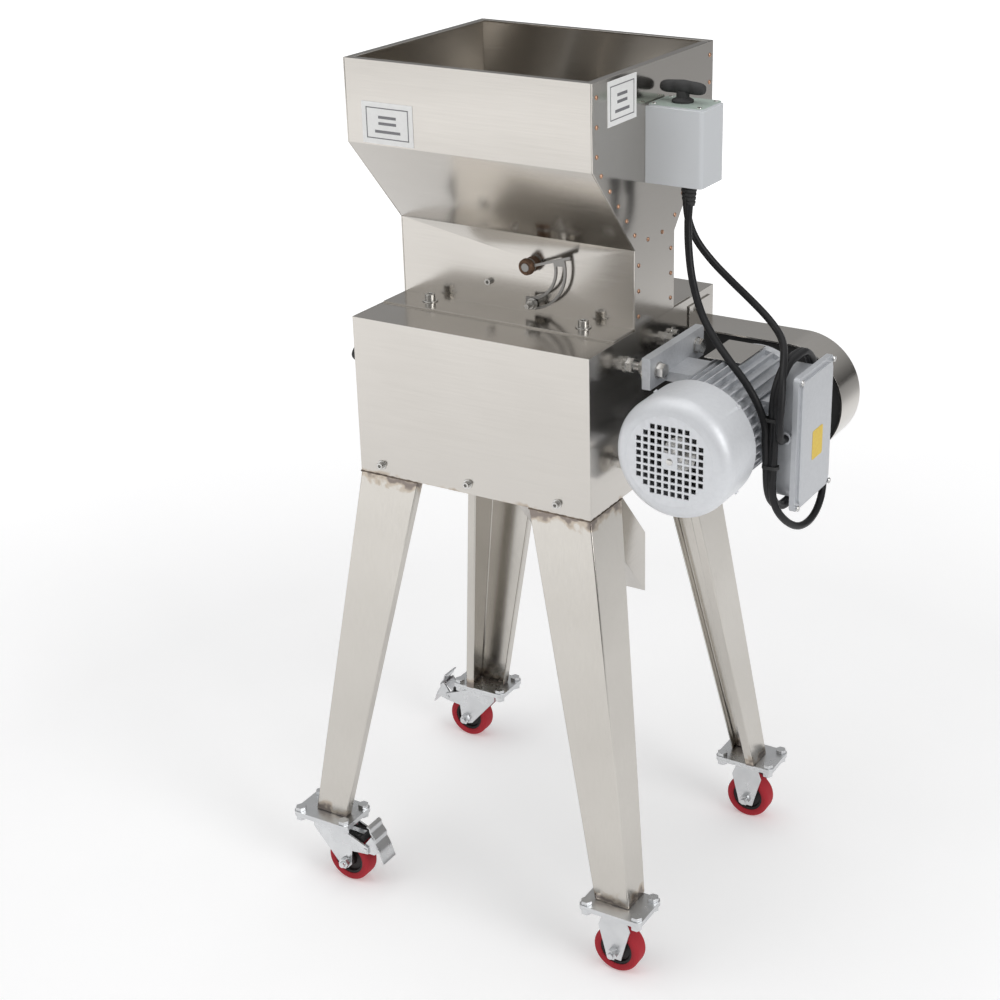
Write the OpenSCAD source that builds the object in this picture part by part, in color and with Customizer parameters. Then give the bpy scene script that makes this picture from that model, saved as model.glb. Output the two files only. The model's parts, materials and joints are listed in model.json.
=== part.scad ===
// Motor-driven roller crusher on four splayed castored legs: hopper, feed gate,
// two geared rollers with an adjustable gap, belt drive, switch and leads.
// Millimetres, +Z up, floor at z = 0, the outlet faces +Y and the motor hangs on +X.

/* [Body] */
// Width of the body box, left to right
body_w = 325; // [305:1:400]
// Depth of the body box, front to back
body_d = 320; // [310:1:400]
// Height of the body box
body_h = 200; // [195:1:250]
// Thickness of the sheet metal
sheet_t = 2; // [1.2:0.1:2.5]
// Depth of the front cover's top strip
cover_strip = 58; // [40:1:58]

/* [Legs] */
// Height of the legs, from foot plate to body
leg_h = 492; // [350:1:650]
// Width of a leg's face at the top
leg_top_w = 84; // [60:1:100]
// Depth of a leg's side at the top
leg_top_d = 76; // [60:1:90]
// Width of a leg's face at the foot
leg_foot_w = 48; // [40:1:60]
// Depth of a leg's side at the foot
leg_foot_d = 43; // [36:1:50]
// How far the foot stands outside the body, sideways
splay_x = 75; // [40:1:110]
// How far the foot stands outside the body, front and back
splay_y = 46; // [30:1:80]
// Width of the folded lip on a leg's free edges
leg_lip = 13; // [8:1:18]
// Thickness of the leg sheet
leg_t = 3; // [2:0.5:4]

/* [Casters] */
// Diameter of a wheel
wheel_d = 63; // [50:1:75]
// Width of a wheel's tread
wheel_w = 24; // [18:1:28]
// Height of a caster, floor to the top of its plate
caster_h = 93; // [93:1:115]
// Length of a caster plate
plate_w = 87; // [80:1:110]
// Depth of a caster plate
plate_d = 60; // [56:1:75]
// Thickness of a caster plate
plate_t = 3; // [2:0.5:4]
// Thickness of the plate welded under a leg
foot_plate_t = 4; // [3:0.5:6]
// Distance between a caster's bolts along X
bolt_pitch_x = 70; // [64:1:92]
// Distance between a caster's bolts along Y
bolt_pitch_y = 44; // [40:1:58]
// Offset of a swivel caster's wheel from its pivot
trail = 30; // [20:1:34]

/* [Hopper] */
// Height of the straight neck
neck_h = 97; // [90:1:120]
// Height of the sloping part
slope_h = 112; // [90:1:150]
// Height of the straight top part
rim_h = 97; // [60:1:150]
// Depth of the hopper's mouth
hopper_d = 296; // [240:1:310]
// Depth of the neck
neck_d = 100; // [90:1:112]
// Depth of the flange that lies on the body
flange_d = 48; // [30:1:50]
// Width of the folded rim
rim_w = 10; // [6:1:16]

/* [Rollers] */
// Diameter of a roller
roller_d = 120; // [110:1:122]
// Length of a roller
roller_len = 124; // [100:1:126]
// Gap between the rollers as stored
roller_gap = 1.2; // [1:0.1:2]
// Distance of the nip from the body's centre
nip_x = 19; // [15:1:22]
// Height of the roller shafts above the body's floor
roller_up = 92; // [88:1:96]
// Radius of the roller shafts
shaft_r = 12.5; // [10:0.5:15]
// Number of grooves around a roller
groove_n = 40; // [12:4:48]
// Number of teeth on each roller gear
gear_teeth = 20; // [16:2:24]

/* [Feed gate] */
// Gate pivot's distance from the body's centre
gate_x = 24; // [20:1:28]
// Gate pivot's height above the body
gate_up = 62; // [58:1:70]
// Radius of the gate shaft
gate_r = 5; // [4:0.5:6]
// Width of the throat that the flap closes
throat_w = 56; // [46:1:60]
// Mean radius of the slotted arc
arc_r = 45; // [40:1:48]

/* [Drive] */
// Distance of the motor's foot from the body's wall
foot_gap = 30; // [26:1:40]
// Motor's shaft height over its feet
motor_h = 80; // [80:1:90]
// Foot bolt spacing across the shaft
foot_a = 125; // [120:1:130]
// Foot bolt spacing along the shaft
foot_b = 100; // [90:1:112]
// Motor shaft's height above the roller shafts
motor_up = 11; // [0:1:14]
// Radius of the fan cowl
cowl_r = 73; // [70:1:78]
// Outer radius of the roller pulley
big_pulley_r = 50; // [40:1:54]
// Outer radius of the motor pulley
small_pulley_r = 30; // [26:1:36]
// Width of the belt guard's band
guard_d = 58; // [50:1:60]
// Outer radius of the belt guard's round end
guard_r = 72; // [70:1:76]

/* [Switch and leads] */
// Switch box size along X
switch_w = 72; // [60:1:90]
// Switch box size along Y
switch_d = 57; // [50:1:80]
// Switch box height
switch_h = 90; // [70:1:110]
// Diameter of the leads
lead_d = 9; // [7:0.5:10]

/* [Hidden] */
$fn = 48;

steel = [0.72, 0.71, 0.68];
dark_steel = [0.35, 0.35, 0.36];
zinc = [0.82, 0.84, 0.85];
grey_paint = [0.74, 0.76, 0.79];
black = [0.08, 0.08, 0.09];
red = [0.62, 0.05, 0.07];
white = [0.93, 0.93, 0.92];
copper = [0.72, 0.42, 0.26];

fit = 0.05;                                   // radial clearance of a running fit
gap = 0.3;                                    // clearance between moving faces
hw = body_w / 2;
hd = body_d / 2;
foot_top = caster_h + foot_plate_t;
body_z = foot_top + leg_h;
body_top = body_z + body_h;
foot_cx = hw + splay_x - leg_foot_w / 2 + 6;  // centre of a foot plate
foot_cy = hd + splay_y - leg_foot_d / 2 + 11;
pedal_out = 61;                               // pedal's reach beyond the wheel's axle

neck_top = body_top + neck_h;
rim_z = neck_top + slope_h;
hopper_top = rim_z + rim_h;
neck_y = neck_d / 2;
mouth_y = hopper_d / 2;

roller_z = body_z + roller_up;
fixed_x = nip_x + (roller_d + roller_gap) / 2;
moving_x = nip_x - (roller_d + roller_gap) / 2;
bearing_w = 15;
bearing_r = shaft_r * 2 + 1;
plate_y0 = roller_len / 2 + 7.5;              // inner face of a bearing plate
screw_y = plate_y0 + bearing_w / 2;
screw_r = 6;
screw_z = roller_z + 39;
block_w = 72;
block_lo = 39;
block_hi = 54;
travel_in = 0.7;                              // the gap closes by this much
travel_out = 1.3;                             // and opens by this much
wheel_x = -hw - 14;                           // inner face of a handwheel
gear_w = 20;
gear_y = plate_y0 + bearing_w + 20;           // inner face of the gears, from the middle
pulley_w = 20;
pulley_y = plate_y0 + bearing_w + 22;
belt_w = 13;

foot_x = hw + foot_gap;
motor_x = foot_x + motor_h;
motor_z = roller_z + motor_up;
motor_y = -20;                                // middle of the feet
house_y0 = -113;
house_y1 = 52;
cowl_y = -176;
core_r = 58;
core_bore = 36;                               // bore round the rotor
cowl_t = 1.8;                                 // thickness of the fan cowl
foot_t = 11;                                  // thickness of the motor's feet
fin_r = 66;
guard_y = hd - 12 - guard_d;
guard_x = motor_x + 26;
guard_z = roller_z;
box_x0 = motor_x + fin_r + 2;
box_x1 = box_x0 + 29;
lid_t = 10;
box_y0 = motor_y - 42;
box_y1 = motor_y + 59;
box_z0 = motor_z - 86;
box_z1 = motor_z + 78;
switch_x1 = hw + switch_w;
switch_z0 = hopper_top - 134;
switch_z1 = switch_z0 + switch_h;
coil_in = 4;                                  // coil's clearance round the box
coil_x0 = box_x0 - 0.5;                       // and its left face
plug_at = [350, 69, 640];

reach_right = box_x1 + lid_t + 1.5;
reach_left = foot_cx + trail + pedal_out;
body_x = -(reach_right - reach_left) / 2;     // the body's centre, so that the whole is centred

// ------------------------------------------------------------------ lead routes
// Points from the body's centre line, floor up.
MOTOR_LEAD = [
    [200, 6, 961], [199, 7, 940], [201, 9, 915], [210, 13, 890], [228, 18, 866],
    [250, 22, 845], [275, 22, 826], [300, 16, 810], [322, 2, 798], [338, -20, 792],
    [350, -45, 785], [358, -66, 770], [363, -78, 750], [364, -84, 728],
    [364, -83, 710], [363, -76, 699], [362, -66, 696], [362, -51, 696]];
MAINS_LEAD = [
    [212, -8, 961], [211, -9, 940], [211, -12, 915], [216, -19, 885], [226, -29, 855],
    [243, -41, 824], [266, -54, 800], [292, -65, 779], [315, -71, 759],
    [332, -74, 737], [342, -74, 713], [347, -72, 690], [349, -71, 668]];
MAINS_TAIL = [
    [350, -71, 660], [352, -71, 636], [354, -69, 618], [358, -62, 602], [363, -46, 585],
    [367, -25, 573], [369, -1, 569], [369, 23, 573], [367, 44, 585], [362, 60, 602],
    [355, 67, 618], [350, 69, 630], [350, 69, 640]];

// ------------------------------------------------------------------ helpers
module place() translate([body_x, 0, 0]) children();

// A flat outline in X and Z, t thick, whose front face is at y
module xz(y, t) translate([0, y + t, 0]) rotate([90, 0, 0]) linear_extrude(t) children();

// A flat outline in Y and Z, t thick, whose left face is at x
module yz(x, t) translate([x, 0, 0]) rotate([90, 0, 90]) linear_extrude(t) children();

module rod_x(x, y, z, r, l) translate([x, y, z]) rotate([0, 90, 0]) cylinder(r = r, h = l);
module rod_y(x, y, z, r, l) translate([x, y, z]) rotate([-90, 0, 0]) cylinder(r = r, h = l);
module hex_x(x, y, z, af, l)
    translate([x, y, z]) rotate([0, 90, 0]) cylinder(d = af / cos(30), h = l, $fn = 6);
module hex_y(x, y, z, af, l)
    translate([x, y, z]) rotate([-90, 0, 0]) cylinder(d = af / cos(30), h = l, $fn = 6);

module block(x0, x1, y0, y1, z0, z1)
    translate([x0, y0, z0]) cube([x1 - x0, y1 - y0, z1 - z0]);

// Loft between two outlines of the same number of points at two heights
module loft(low, high, z0, z1, caps) {
    n = len(low);
    polyhedron(
        points = concat([for (p = low) [p[0], p[1], z0]], [for (p = high) [p[0], p[1], z1]]),
        faces = concat(caps, [for (c = caps) [for (i = [len(c) - 1:-1:0]) n + c[i]]],
            [for (i = [0:n - 1]) [i, n + i, n + (i + 1) % n, (i + 1) % n]]));
}

// Square ring or disc outline with rounded corners
module rounded(w, h, r) {
    square([w - 2 * r, h], center = true);
    square([w, h - 2 * r], center = true);
    for (x = [-1, 1], y = [-1, 1]) translate([x * (w / 2 - r), y * (h / 2 - r)]) circle(r = r);
}

function unit(v) = v / norm(v);
function tangent(p, i) = unit(i == 0 ? p[1] - p[0]
    : i == len(p) - 1 ? p[i] - p[i - 1] : p[i + 1] - p[i - 1]);
function side(t) = unit(cross(t, abs(t[0]) < 0.9 ? [1, 0, 0] : [0, 1, 0]));

// A tube swept along a route, with a flat end at each end
module tube(route, d, sides = 8) {
    n = len(route);
    polyhedron(
        points = [for (i = [0:n - 1]) let (t = tangent(route, i), u = side(t), v = cross(t, u))
            for (k = [0:sides - 1]) let (a = 360 * k / sides)
                route[i] + d / 2 * (cos(a) * u + sin(a) * v)],
        faces = concat([[for (k = [sides - 1:-1:0]) k]],
            [[for (k = [0:sides - 1]) (n - 1) * sides + k]],
            [for (i = [0:n - 2], k = [0:sides - 1]) let (j = (k + 1) % sides)
                [i * sides + k, i * sides + j, (i + 1) * sides + j, (i + 1) * sides + k]]));
}

// Involute gear outline
function involute(rb, a) = rb * [cos(a) + a * PI / 180 * sin(a), sin(a) - a * PI / 180 * cos(a)];
function involute_angle(rb, r) = sqrt(pow(r / rb, 2) - 1) * 180 / PI;
function turned(p, a) = [p[0] * cos(a) - p[1] * sin(a), p[0] * sin(a) + p[1] * cos(a)];
function polar(r, a) = [r * cos(a), r * sin(a)];
module gear_outline(module_mm, teeth, slack) {
    rp = module_mm * teeth / 2;
    rb = rp * cos(20);
    ra = rp + 0.85 * module_mm;
    rf = rp - 1.15 * module_mm;
    ap = involute_angle(rb, rp);
    flank = [for (k = [0:4]) let (r = rb + (ra - rb) * k / 4) involute(rb, involute_angle(rb, r))];
    pitch_pt = involute(rb, ap);
    half = 90 / teeth - slack / rp * 90 / PI;
    shift = -atan2(pitch_pt[1], pitch_pt[0]) - half;
    polygon([for (i = [0:teeth - 1]) let (a = 360 * i / teeth)
        each concat([turned(polar(rf, shift), a)],
            [for (p = flank) turned(p, shift + a)],
            [for (k = [4:-1:0]) turned([flank[k][0], -flank[k][1]], a - shift)],
            [turned(polar(rf, -shift), a)])]);
}

module socket_screw(d, l) {
    difference() {
        translate([0, 0, 0.01]) cylinder(d = 1.6 * d, h = d);
        translate([0, 0, 0.4 * d]) cylinder(d = 0.9 * d, h = d, $fn = 6);
    }
    translate([0, 0, -l]) cylinder(d = d, h = l + 0.02);
}

module washered_screw(d, l) {
    difference() {
        cylinder(d = 2.4 * d, h = 1.2);
        translate([0, 0, -1]) cylinder(d = d + 0.1, h = 4);
    }
    translate([0, 0, 1.2]) socket_screw(d, l);
}

// ------------------------------------------------------------------ body box
chute_w = 120;
chute_y0 = -66;
chute_mouth = 74;
chute_end_y = 138;
chute_slope = 50;

guard_open_y0 = guard_y + 6;
guard_open_y1 = hd - 18;

module body_shell() color(steel) place() difference() {
    body_sheets();
    at_cover_screws() hole(2.5);
    at_wall_screws() hole(3);
    at_guard_screws() hole(2.5);
    at_flange_bolts() hole(4);
    body_openings();
}
module body_sheets() {
    block(-hw, -hw + sheet_t, -hd + sheet_t, hd, body_z, body_top);
    block(hw - sheet_t, hw, -hd + sheet_t, hd, body_z, body_top);
    block(-hw, hw, hd - sheet_t, hd, body_z, body_top);
    block(-hw, hw, -hd + sheet_t, hd, body_z, body_z + sheet_t);
    block(-hw, hw, -hd + sheet_t, -hd + 2 * sheet_t, body_z, body_z + 26);
    block(-hw, hw, -hd + cover_strip, hd, body_top - sheet_t, body_top);
    for (y = [-1, 1]) rod_x(-hw - 11, y * screw_y, screw_z, 13, 12);
}
module body_openings() {
    block(nip_x - chute_w / 2 + 2, nip_x + chute_w / 2 - 2, chute_y0 + 3, roller_len / 2 + 2,
        body_z - 1, body_z + sheet_t + 1);
    block(gate_x - throat_w / 2 - 6, gate_x + throat_w / 2 + 6, -neck_y + 1, neck_y - 1,
        body_top - sheet_t - 1, body_top + 1);
    for (y = [-1, 1]) rod_x(-hw - 20, y * screw_y, screw_z, screw_r + 0.08, 40);
    block(hw - sheet_t - 1, hw + 1, guard_open_y0, guard_open_y1,
        guard_z - guard_r + 14, guard_z + guard_r - 14);
    for (y = [-1, 1], z = [-1, 1])
        rod_x(hw - 10, motor_y + y * foot_b / 2, motor_z + z * foot_a / 2, 5.3, 20);
}

module front_cover() color(steel) place() difference() {
    cover_sheet();
    at_cover_screws() hole(2.5);
}
module cover_sheet() {
    block(-hw, hw, -hd, -hd + sheet_t - 0.02, body_z, body_top);
    block(-hw + sheet_t + 0.1, hw - sheet_t - 0.1, -hd, -hd + cover_strip - 0.6,
        body_top - sheet_t + 0.02, body_top);
}

cover_screw_x = [-131, -6, 118];
module at_cover_screws() for (x = cover_screw_x)
    translate([x, -hd, body_z + 13]) rotate([90, 0, 0]) children();
module at_wall_screws() {
    for (y = [-1, 1], p = [[65.6, 42], [29, 144]])
        translate([-hw, y * p[0], body_z + p[1]]) rotate([0, -90, 0]) children();
    translate([hw, 48, motor_z + 66]) rotate([0, 90, 0]) children();
}
module at_guard_screws() for (z = [guard_r + 15, -guard_r - 10])
    translate([hw + sheet_t, guard_y + 26, guard_z + z]) rotate([0, 90, 0]) children();
module at_flange_bolts() for (x = [-110, 105], y = [-1, 1])
    translate([x, y * (neck_y + 21), body_top + sheet_t]) children();
module hole(r) translate([0, 0, -20]) cylinder(r = r + 0.1, h = 30);

module body_screws() color(zinc) place() {
    at_cover_screws() washered_screw(5, 6);
    at_wall_screws() washered_screw(6, 12);
    at_guard_screws() washered_screw(5, 10);
}

// White notices on the hopper, scale arcs over the handwheels, plate on the motor
module label_plates() color(white) place() {
    block(-140, -70, -mouth_y - 0.5, -mouth_y, rim_z + 2, rim_z + 50);
    block(hw, hw + 0.5, -115, -48, hopper_top - 54, hopper_top - 4);
    for (y = [-1, 1]) translate([-hw, y * screw_y, screw_z]) rotate([90, 0, -90])
        rotate([0, 0, 52]) rotate_extrude(angle = 76) translate([46, 0]) square([12, 0.5]);
    block(motor_x - 36, motor_x + 12, motor_y + 3, motor_y + 72, motor_z + fin_r + 1,
        motor_z + fin_r + 2);
    for (x = [-32, 8], y = [8, 66])
        translate([motor_x + x, motor_y + y, motor_z + fin_r - 1]) cylinder(r = 2, h = 2);
}

// ------------------------------------------------------------------ legs and casters
function leg_outline(w, d) = [[0, 0], [0, d], [-leg_lip, d], [-leg_lip, d - leg_t],
    [-leg_t, d - leg_t], [-leg_t, leg_t], [-w + leg_t, leg_t], [-w + leg_t, leg_lip],
    [-w, leg_lip], [-w, 0]];
// The same outline as four convex pieces: lip, side, face and lip
leg_caps = [[1, 2, 3, 4], [0, 1, 4, 5], [0, 5, 6, 9], [6, 7, 8, 9]];
function moved(pts, x, y) = [for (p = pts) [p[0] + x, p[1] + y]];

module leg() loft(moved(leg_outline(leg_foot_w, leg_foot_d), hw + splay_x, -hd - splay_y),
    moved(leg_outline(leg_top_w, leg_top_d), hw, -hd), foot_top, body_z, leg_caps);

// sx = 1 right or -1 left, sy = 1 rear or -1 front
module corner(sx, sy) mirror([sx < 0 ? 1 : 0, 0, 0]) mirror([0, sy > 0 ? 1 : 0, 0]) children();

module leg_front_left() color(steel) place() corner(-1, -1) leg();
module leg_front_right() color(steel) place() corner(1, -1) leg();
module leg_rear_left() color(steel) place() corner(-1, 1) leg();
module leg_rear_right() color(steel) place() corner(1, 1) leg();

module at_feet() for (sx = [-1, 1], sy = [-1, 1]) translate([sx * foot_cx, sy * foot_cy, 0]) children();
module at_bolts() for (x = [-1, 1], y = [-1, 1])
    translate([x * bolt_pitch_x / 2, y * bolt_pitch_y / 2, 0]) children();
module plate_outline() difference() {
    rounded(plate_w, plate_d, 7);
    at_bolts() circle(r = 4.2);
}

module foot_plates() color(dark_steel) place() at_feet()
    translate([0, 0, caster_h]) linear_extrude(foot_plate_t) plate_outline();

module foot_bolts() color(zinc) place() at_feet() at_bolts() {
    translate([0, 0, foot_top]) cylinder(d = 13 / cos(30), h = 5, $fn = 6);
    translate([0, 0, caster_h - plate_t - 8]) cylinder(r = 4, h = plate_t + foot_plate_t + 9);
    translate([0, 0, caster_h - plate_t - 6.5]) difference() {
        cylinder(d = 13 / cos(30), h = 6.5, $fn = 6);
        translate([0, 0, -1]) cylinder(r = 4, h = 9);
    }
}

axle_r = 4;
cheek_t = 2.5;
cheek_y = wheel_w / 2 + 2;
module axle(x) {
    rod_y(x, -cheek_y - cheek_t - 0.5, wheel_d / 2, axle_r, 2 * (cheek_y + cheek_t) + 1);
    hex_y(x, -cheek_y - cheek_t - 7, wheel_d / 2, 13, 7);
    hex_y(x, cheek_y + cheek_t, wheel_d / 2, 13, 5);
    rod_y(x, -cheek_y - cheek_t - 11, wheel_d / 2, axle_r, 5);
}

module rigid_cheek(y) xz(y, cheek_t) polygon([[-13, caster_h - plate_t + 0.5],
    [-22, caster_h - 26], [-10, wheel_d / 2 - 10], [10, wheel_d / 2 - 10],
    [22, caster_h - 26], [13, caster_h - plate_t + 0.5]]);

module rigid_fork() {
    translate([0, 0, caster_h - plate_t]) linear_extrude(plate_t) plate_outline();
    rigid_cheek(-cheek_y - cheek_t);
    rigid_cheek(cheek_y);
    axle(0);
}
module rigid_forks() color(zinc) place()
    for (sy = [-1, 1]) translate([foot_cx, sy * foot_cy, 0]) rigid_fork();

pin_r = 6;
module swivel_plates() color(zinc) place() for (sy = [-1, 1]) translate([-foot_cx, sy * foot_cy, 0])
    translate([0, 0, caster_h - plate_t]) linear_extrude(plate_t) difference() {
        plate_outline();
        circle(r = pin_r + fit);
    }

race_top = caster_h - plate_t - gap;
race_low = race_top - 9;
pedal_x = trail + 33;                         // brake pedal's pin, from the pivot
pedal_z = wheel_d / 2 + 28;
module swivel_cheek(y) xz(y, cheek_t) polygon([[-20, race_low + 1], [-20, race_low - 8],
    [trail - 10, wheel_d / 2 - 6], [trail + 2, wheel_d / 2 - 10], [trail + 9, wheel_d / 2 - 2],
    [trail + 11, wheel_d / 2 + 20], [pedal_x + 4, pedal_z - 5], [pedal_x + 4, pedal_z + 5],
    [24, race_low + 1]]);
module swivel_fork() {
    translate([0, 0, race_low]) cylinder(r = 22, h = race_top - race_low);
    translate([0, 0, race_low]) cylinder(r = pin_r, h = caster_h - gap - race_low);
    block(-20, 26, -cheek_y - cheek_t, cheek_y + cheek_t, race_low - 1, race_low + 1);
    difference() {
        union() {
            swivel_cheek(-cheek_y - cheek_t);
            swivel_cheek(cheek_y);
        }
        rod_y(pedal_x, -30, pedal_z, 3 + fit, 60);
    }
    axle(trail);
}
module at_swivel(sy) translate([-foot_cx, sy * foot_cy, 0]) mirror([sy > 0 ? 1 : 0, 0, 0]) children();
module fork_front_left() color(zinc) place() at_swivel(-1) swivel_fork();
module fork_rear_left() color(zinc) place() at_swivel(1) swivel_fork();

module wheel(x) translate([x, 0, wheel_d / 2]) rotate([90, 0, 0]) {
    color(red) rotate_extrude($fn = 96) polygon([[wheel_d / 2 - 11, -wheel_w / 2],
        [wheel_d / 2 - 3, -wheel_w / 2], [wheel_d / 2, -wheel_w / 2 + 4],
        [wheel_d / 2, wheel_w / 2 - 4], [wheel_d / 2 - 3, wheel_w / 2],
        [wheel_d / 2 - 11, wheel_w / 2]]);
    color(black) rotate_extrude() polygon([[axle_r + fit, -wheel_w / 2 - 1],
        [9, -wheel_w / 2 - 1], [10, -4], [wheel_d / 2 - 11, -4], [wheel_d / 2 - 11, 4],
        [10, 4], [9, wheel_w / 2 + 1], [axle_r + fit, wheel_w / 2 + 1]]);
}
module wheel_front_left() place() at_swivel(-1) wheel(trail);
module wheel_rear_left() place() at_swivel(1) wheel(trail);
module wheel_front_right() place() translate([foot_cx, -foot_cy, 0]) wheel(0);
module wheel_rear_right() place() translate([foot_cx, foot_cy, 0]) wheel(0);

// Brake pedal: a pin through the fork's ears, two short arms and a bent tread
module pedal() {
    rod_y(pedal_x, -cheek_y - cheek_t - 1, pedal_z, 3, 2 * (cheek_y + cheek_t + 1));
    for (y = [-cheek_y + gap, cheek_y - gap - 2.5]) xz(y, 2.5)
        polygon([[pedal_x - 5, pedal_z + 5], [pedal_x - 5, pedal_z - 5],
            [pedal_x + 12, pedal_z - 6], [pedal_x + 12, pedal_z + 20], [pedal_x + 7, pedal_z + 20]]);
    tip = trail + pedal_out;
    xz(-cheek_y + gap, 2 * (cheek_y - gap)) polygon([[pedal_x + 6, pedal_z + 35],
        [pedal_x + 9, pedal_z + 6], [tip - 5, pedal_z - 2], [tip - 2, pedal_z + 6],
        [tip, pedal_z + 5], [tip - 3, pedal_z - 5], [pedal_x + 9, pedal_z + 2],
        [pedal_x + 6, pedal_z + 3], [pedal_x + 3, pedal_z + 34]]);
}
module pedal_front_left() color(zinc) place() at_swivel(-1) pedal();
module pedal_rear_left() color(zinc) place() at_swivel(1) pedal();

// ------------------------------------------------------------------ hopper
module side_sheet() {
    x0 = -hw + sheet_t;
    w = body_w - 2 * sheet_t;
    t = sheet_t;
    yz(x0, w) polygon([[-mouth_y, hopper_top], [-mouth_y, rim_z], [-neck_y, neck_top],
        [-neck_y, body_top + t], [-neck_y - flange_d, body_top + t], [-neck_y - flange_d, body_top],
        [-neck_y + t, body_top], [-neck_y + t, neck_top], [-mouth_y + t, rim_z],
        [-mouth_y + t, hopper_top - t], [-mouth_y + rim_w, hopper_top - t],
        [-mouth_y + rim_w, hopper_top]]);
}
module bored_sheet() difference() {
    side_sheet();
    rod_y(gate_x, -neck_y - 2, body_top + gate_up, gate_r + 4, sheet_t + 4);
    at_flange_bolts() hole(4);
}
module hopper_front_sheet() color(steel) place() bored_sheet();
module hopper_rear_sheet() color(steel) place() mirror([0, 1, 0]) bored_sheet();
module panel_outline() polygon([[-mouth_y, hopper_top], [-mouth_y, rim_z], [-neck_y, neck_top],
    [-neck_y, body_top], [neck_y, body_top], [neck_y, neck_top], [mouth_y, rim_z],
    [mouth_y, hopper_top]]);
module hopper_panel() {
    yz(hw - sheet_t, sheet_t) panel_outline();
    block(hw - rim_w, hw, -mouth_y + rim_w, mouth_y - rim_w, hopper_top - sheet_t, hopper_top);
}
module hopper_left_panel() color(steel) place() mirror([1, 0, 0]) hopper_panel();
module hopper_right_panel() color(steel) place() hopper_panel();

// Rivets along a panel's edges, an inset in from the sheet it joins
rivet_in = 9;
function along(a, b, n) = [for (i = [0:n - 1]) a + (b - a) * (i + 0.5) / n];
rivets = concat(
    along([-mouth_y + rivet_in, hopper_top], [-mouth_y + rivet_in, rim_z], 3),
    along([-mouth_y + rivet_in, rim_z + 4], [-neck_y + rivet_in, neck_top + 8], 5),
    along([-neck_y + rivet_in, neck_top - 4], [-neck_y + rivet_in, body_top], 3),
    [[-18, neck_top + 6]]);
module hopper_rivets() color(copper) place() for (sx = [-1, 1], sy = [-1, 1], p = rivets)
    mirror([sx < 0 ? 1 : 0, 0, 0]) mirror([0, sy > 0 ? 1 : 0, 0]) rod_x(hw, p[0], p[1], 2.2, 0.8);

module flange_bolts() color(zinc) place() at_flange_bolts() washered_screw(8, sheet_t * 2 + 8);

// Sloping guide sheets inside the hopper, ending in the throat over the nip
baffle_slope = 0.77;
throat_z0 = body_top - 47;
throat_z1 = neck_top - 6;
module baffle_outline(s) {
    x0 = s * throat_w / 2;
    xe = (s > 0 ? hw - gate_x : -hw - gate_x) - s * (sheet_t + 0.1);
    ze = throat_z1 + abs(xe - x0) * baffle_slope;
    translate([gate_x, 0]) polygon([[x0, throat_z0], [x0, throat_z1], [xe, ze], [xe, ze - 2.5],
        [x0 + s * 2, throat_z1 - 2.5], [x0 + s * 2, throat_z0]]);
}
module feed_baffles() color(steel) place() intersection() {
    for (s = [-1, 1]) xz(-mouth_y, 2 * mouth_y) baffle_outline(s);
    yz(-hw, body_w) {
        m = mouth_y - sheet_t - 0.1;
        n = neck_y - sheet_t - 0.1;
        polygon([[-m, hopper_top], [-m, rim_z], [-n, neck_top + 0.4], [-n, throat_z0],
            [n, throat_z0], [n, neck_top + 0.4], [m, rim_z], [m, hopper_top]]);
    }
}

// ------------------------------------------------------------------ feed gate
gate_z = body_top + gate_up;
sector_y = -neck_y - 12;                      // front face of the slotted arc
sector_t = 3;
slot_w = 9.5;
rim_out = 3;
stud_at = -81;
bush_l = 6;

module gate_flap() color(steel) place() {
    rod_y(gate_x, sector_y - 5, gate_z, gate_r, 2 * neck_y + 23);
    difference() {
        block(gate_x - throat_w / 2 + 2, gate_x + throat_w / 2 - 2, -neck_y + 4, neck_y - 4,
            gate_z - 1.5, gate_z + 1.5);
        rod_y(gate_x, -neck_y, gate_z, gate_r - 1, 2 * neck_y);
    }
}
module sector_outline() {
    r0 = arc_r - slot_w / 2 - rim_out;
    r1 = arc_r + slot_w / 2 + rim_out;
    difference() {
        intersection() {
            difference() {
                circle(r = r1, $fn = 96);
                circle(r = r0, $fn = 96);
            }
            polygon([[0, 0], polar(90, 18), polar(90, -15), polar(90, -60), polar(90, -94)]);
        }
        intersection() {
            difference() {
                circle(r = arc_r + slot_w / 2, $fn = 96);
                circle(r = arc_r - slot_w / 2, $fn = 96);
            }
            polygon([[0, 0], polar(90, 8), polar(90, -40), polar(90, -88)]);
        }
    }
}
module gate_sector() color(dark_steel) place() difference() {
    union() {
        translate([gate_x, 0, gate_z]) xz(sector_y, sector_t) {
            sector_outline();
            rotate(18) translate([gate_r + 2, -2]) square([arc_r + slot_w, 3]);
        }
        rod_y(gate_x, sector_y - 4, gate_z, gate_r + 4, sector_t + 7);
    }
    rod_y(gate_x, sector_y - 20, gate_z, gate_r + fit, 60);
}
// Two welded bushes and the clamp stud with its spacer, washer and nut
module gate_fittings() color(dark_steel) place() {
    for (y = [-neck_y - bush_l + 0.5, neck_y - sheet_t - 0.5]) difference() {
        rod_y(gate_x, y, gate_z, gate_r + 3.9, bush_l + sheet_t);
        rod_y(gate_x, y - 1, gate_z, gate_r + fit, bush_l + sheet_t + 2);
    }
    translate([gate_x + arc_r * cos(stud_at), 0, gate_z + arc_r * sin(stud_at)]) {
        rod_y(0, -neck_y - 27, 0, 3, 27);
        rod_y(0, sector_y + sector_t + gap, 0, 7, -neck_y - sector_y - sector_t - gap);
        rod_y(0, sector_y - gap - 1.5, 0, 7, 1.5);
        hex_y(0, sector_y - gap - 7, 0, 10, 5.5);
    }
    translate([gate_x - 61, -neck_y, gate_z - 30]) rotate([90, 0, 0]) socket_screw(5, 0);
}

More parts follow.
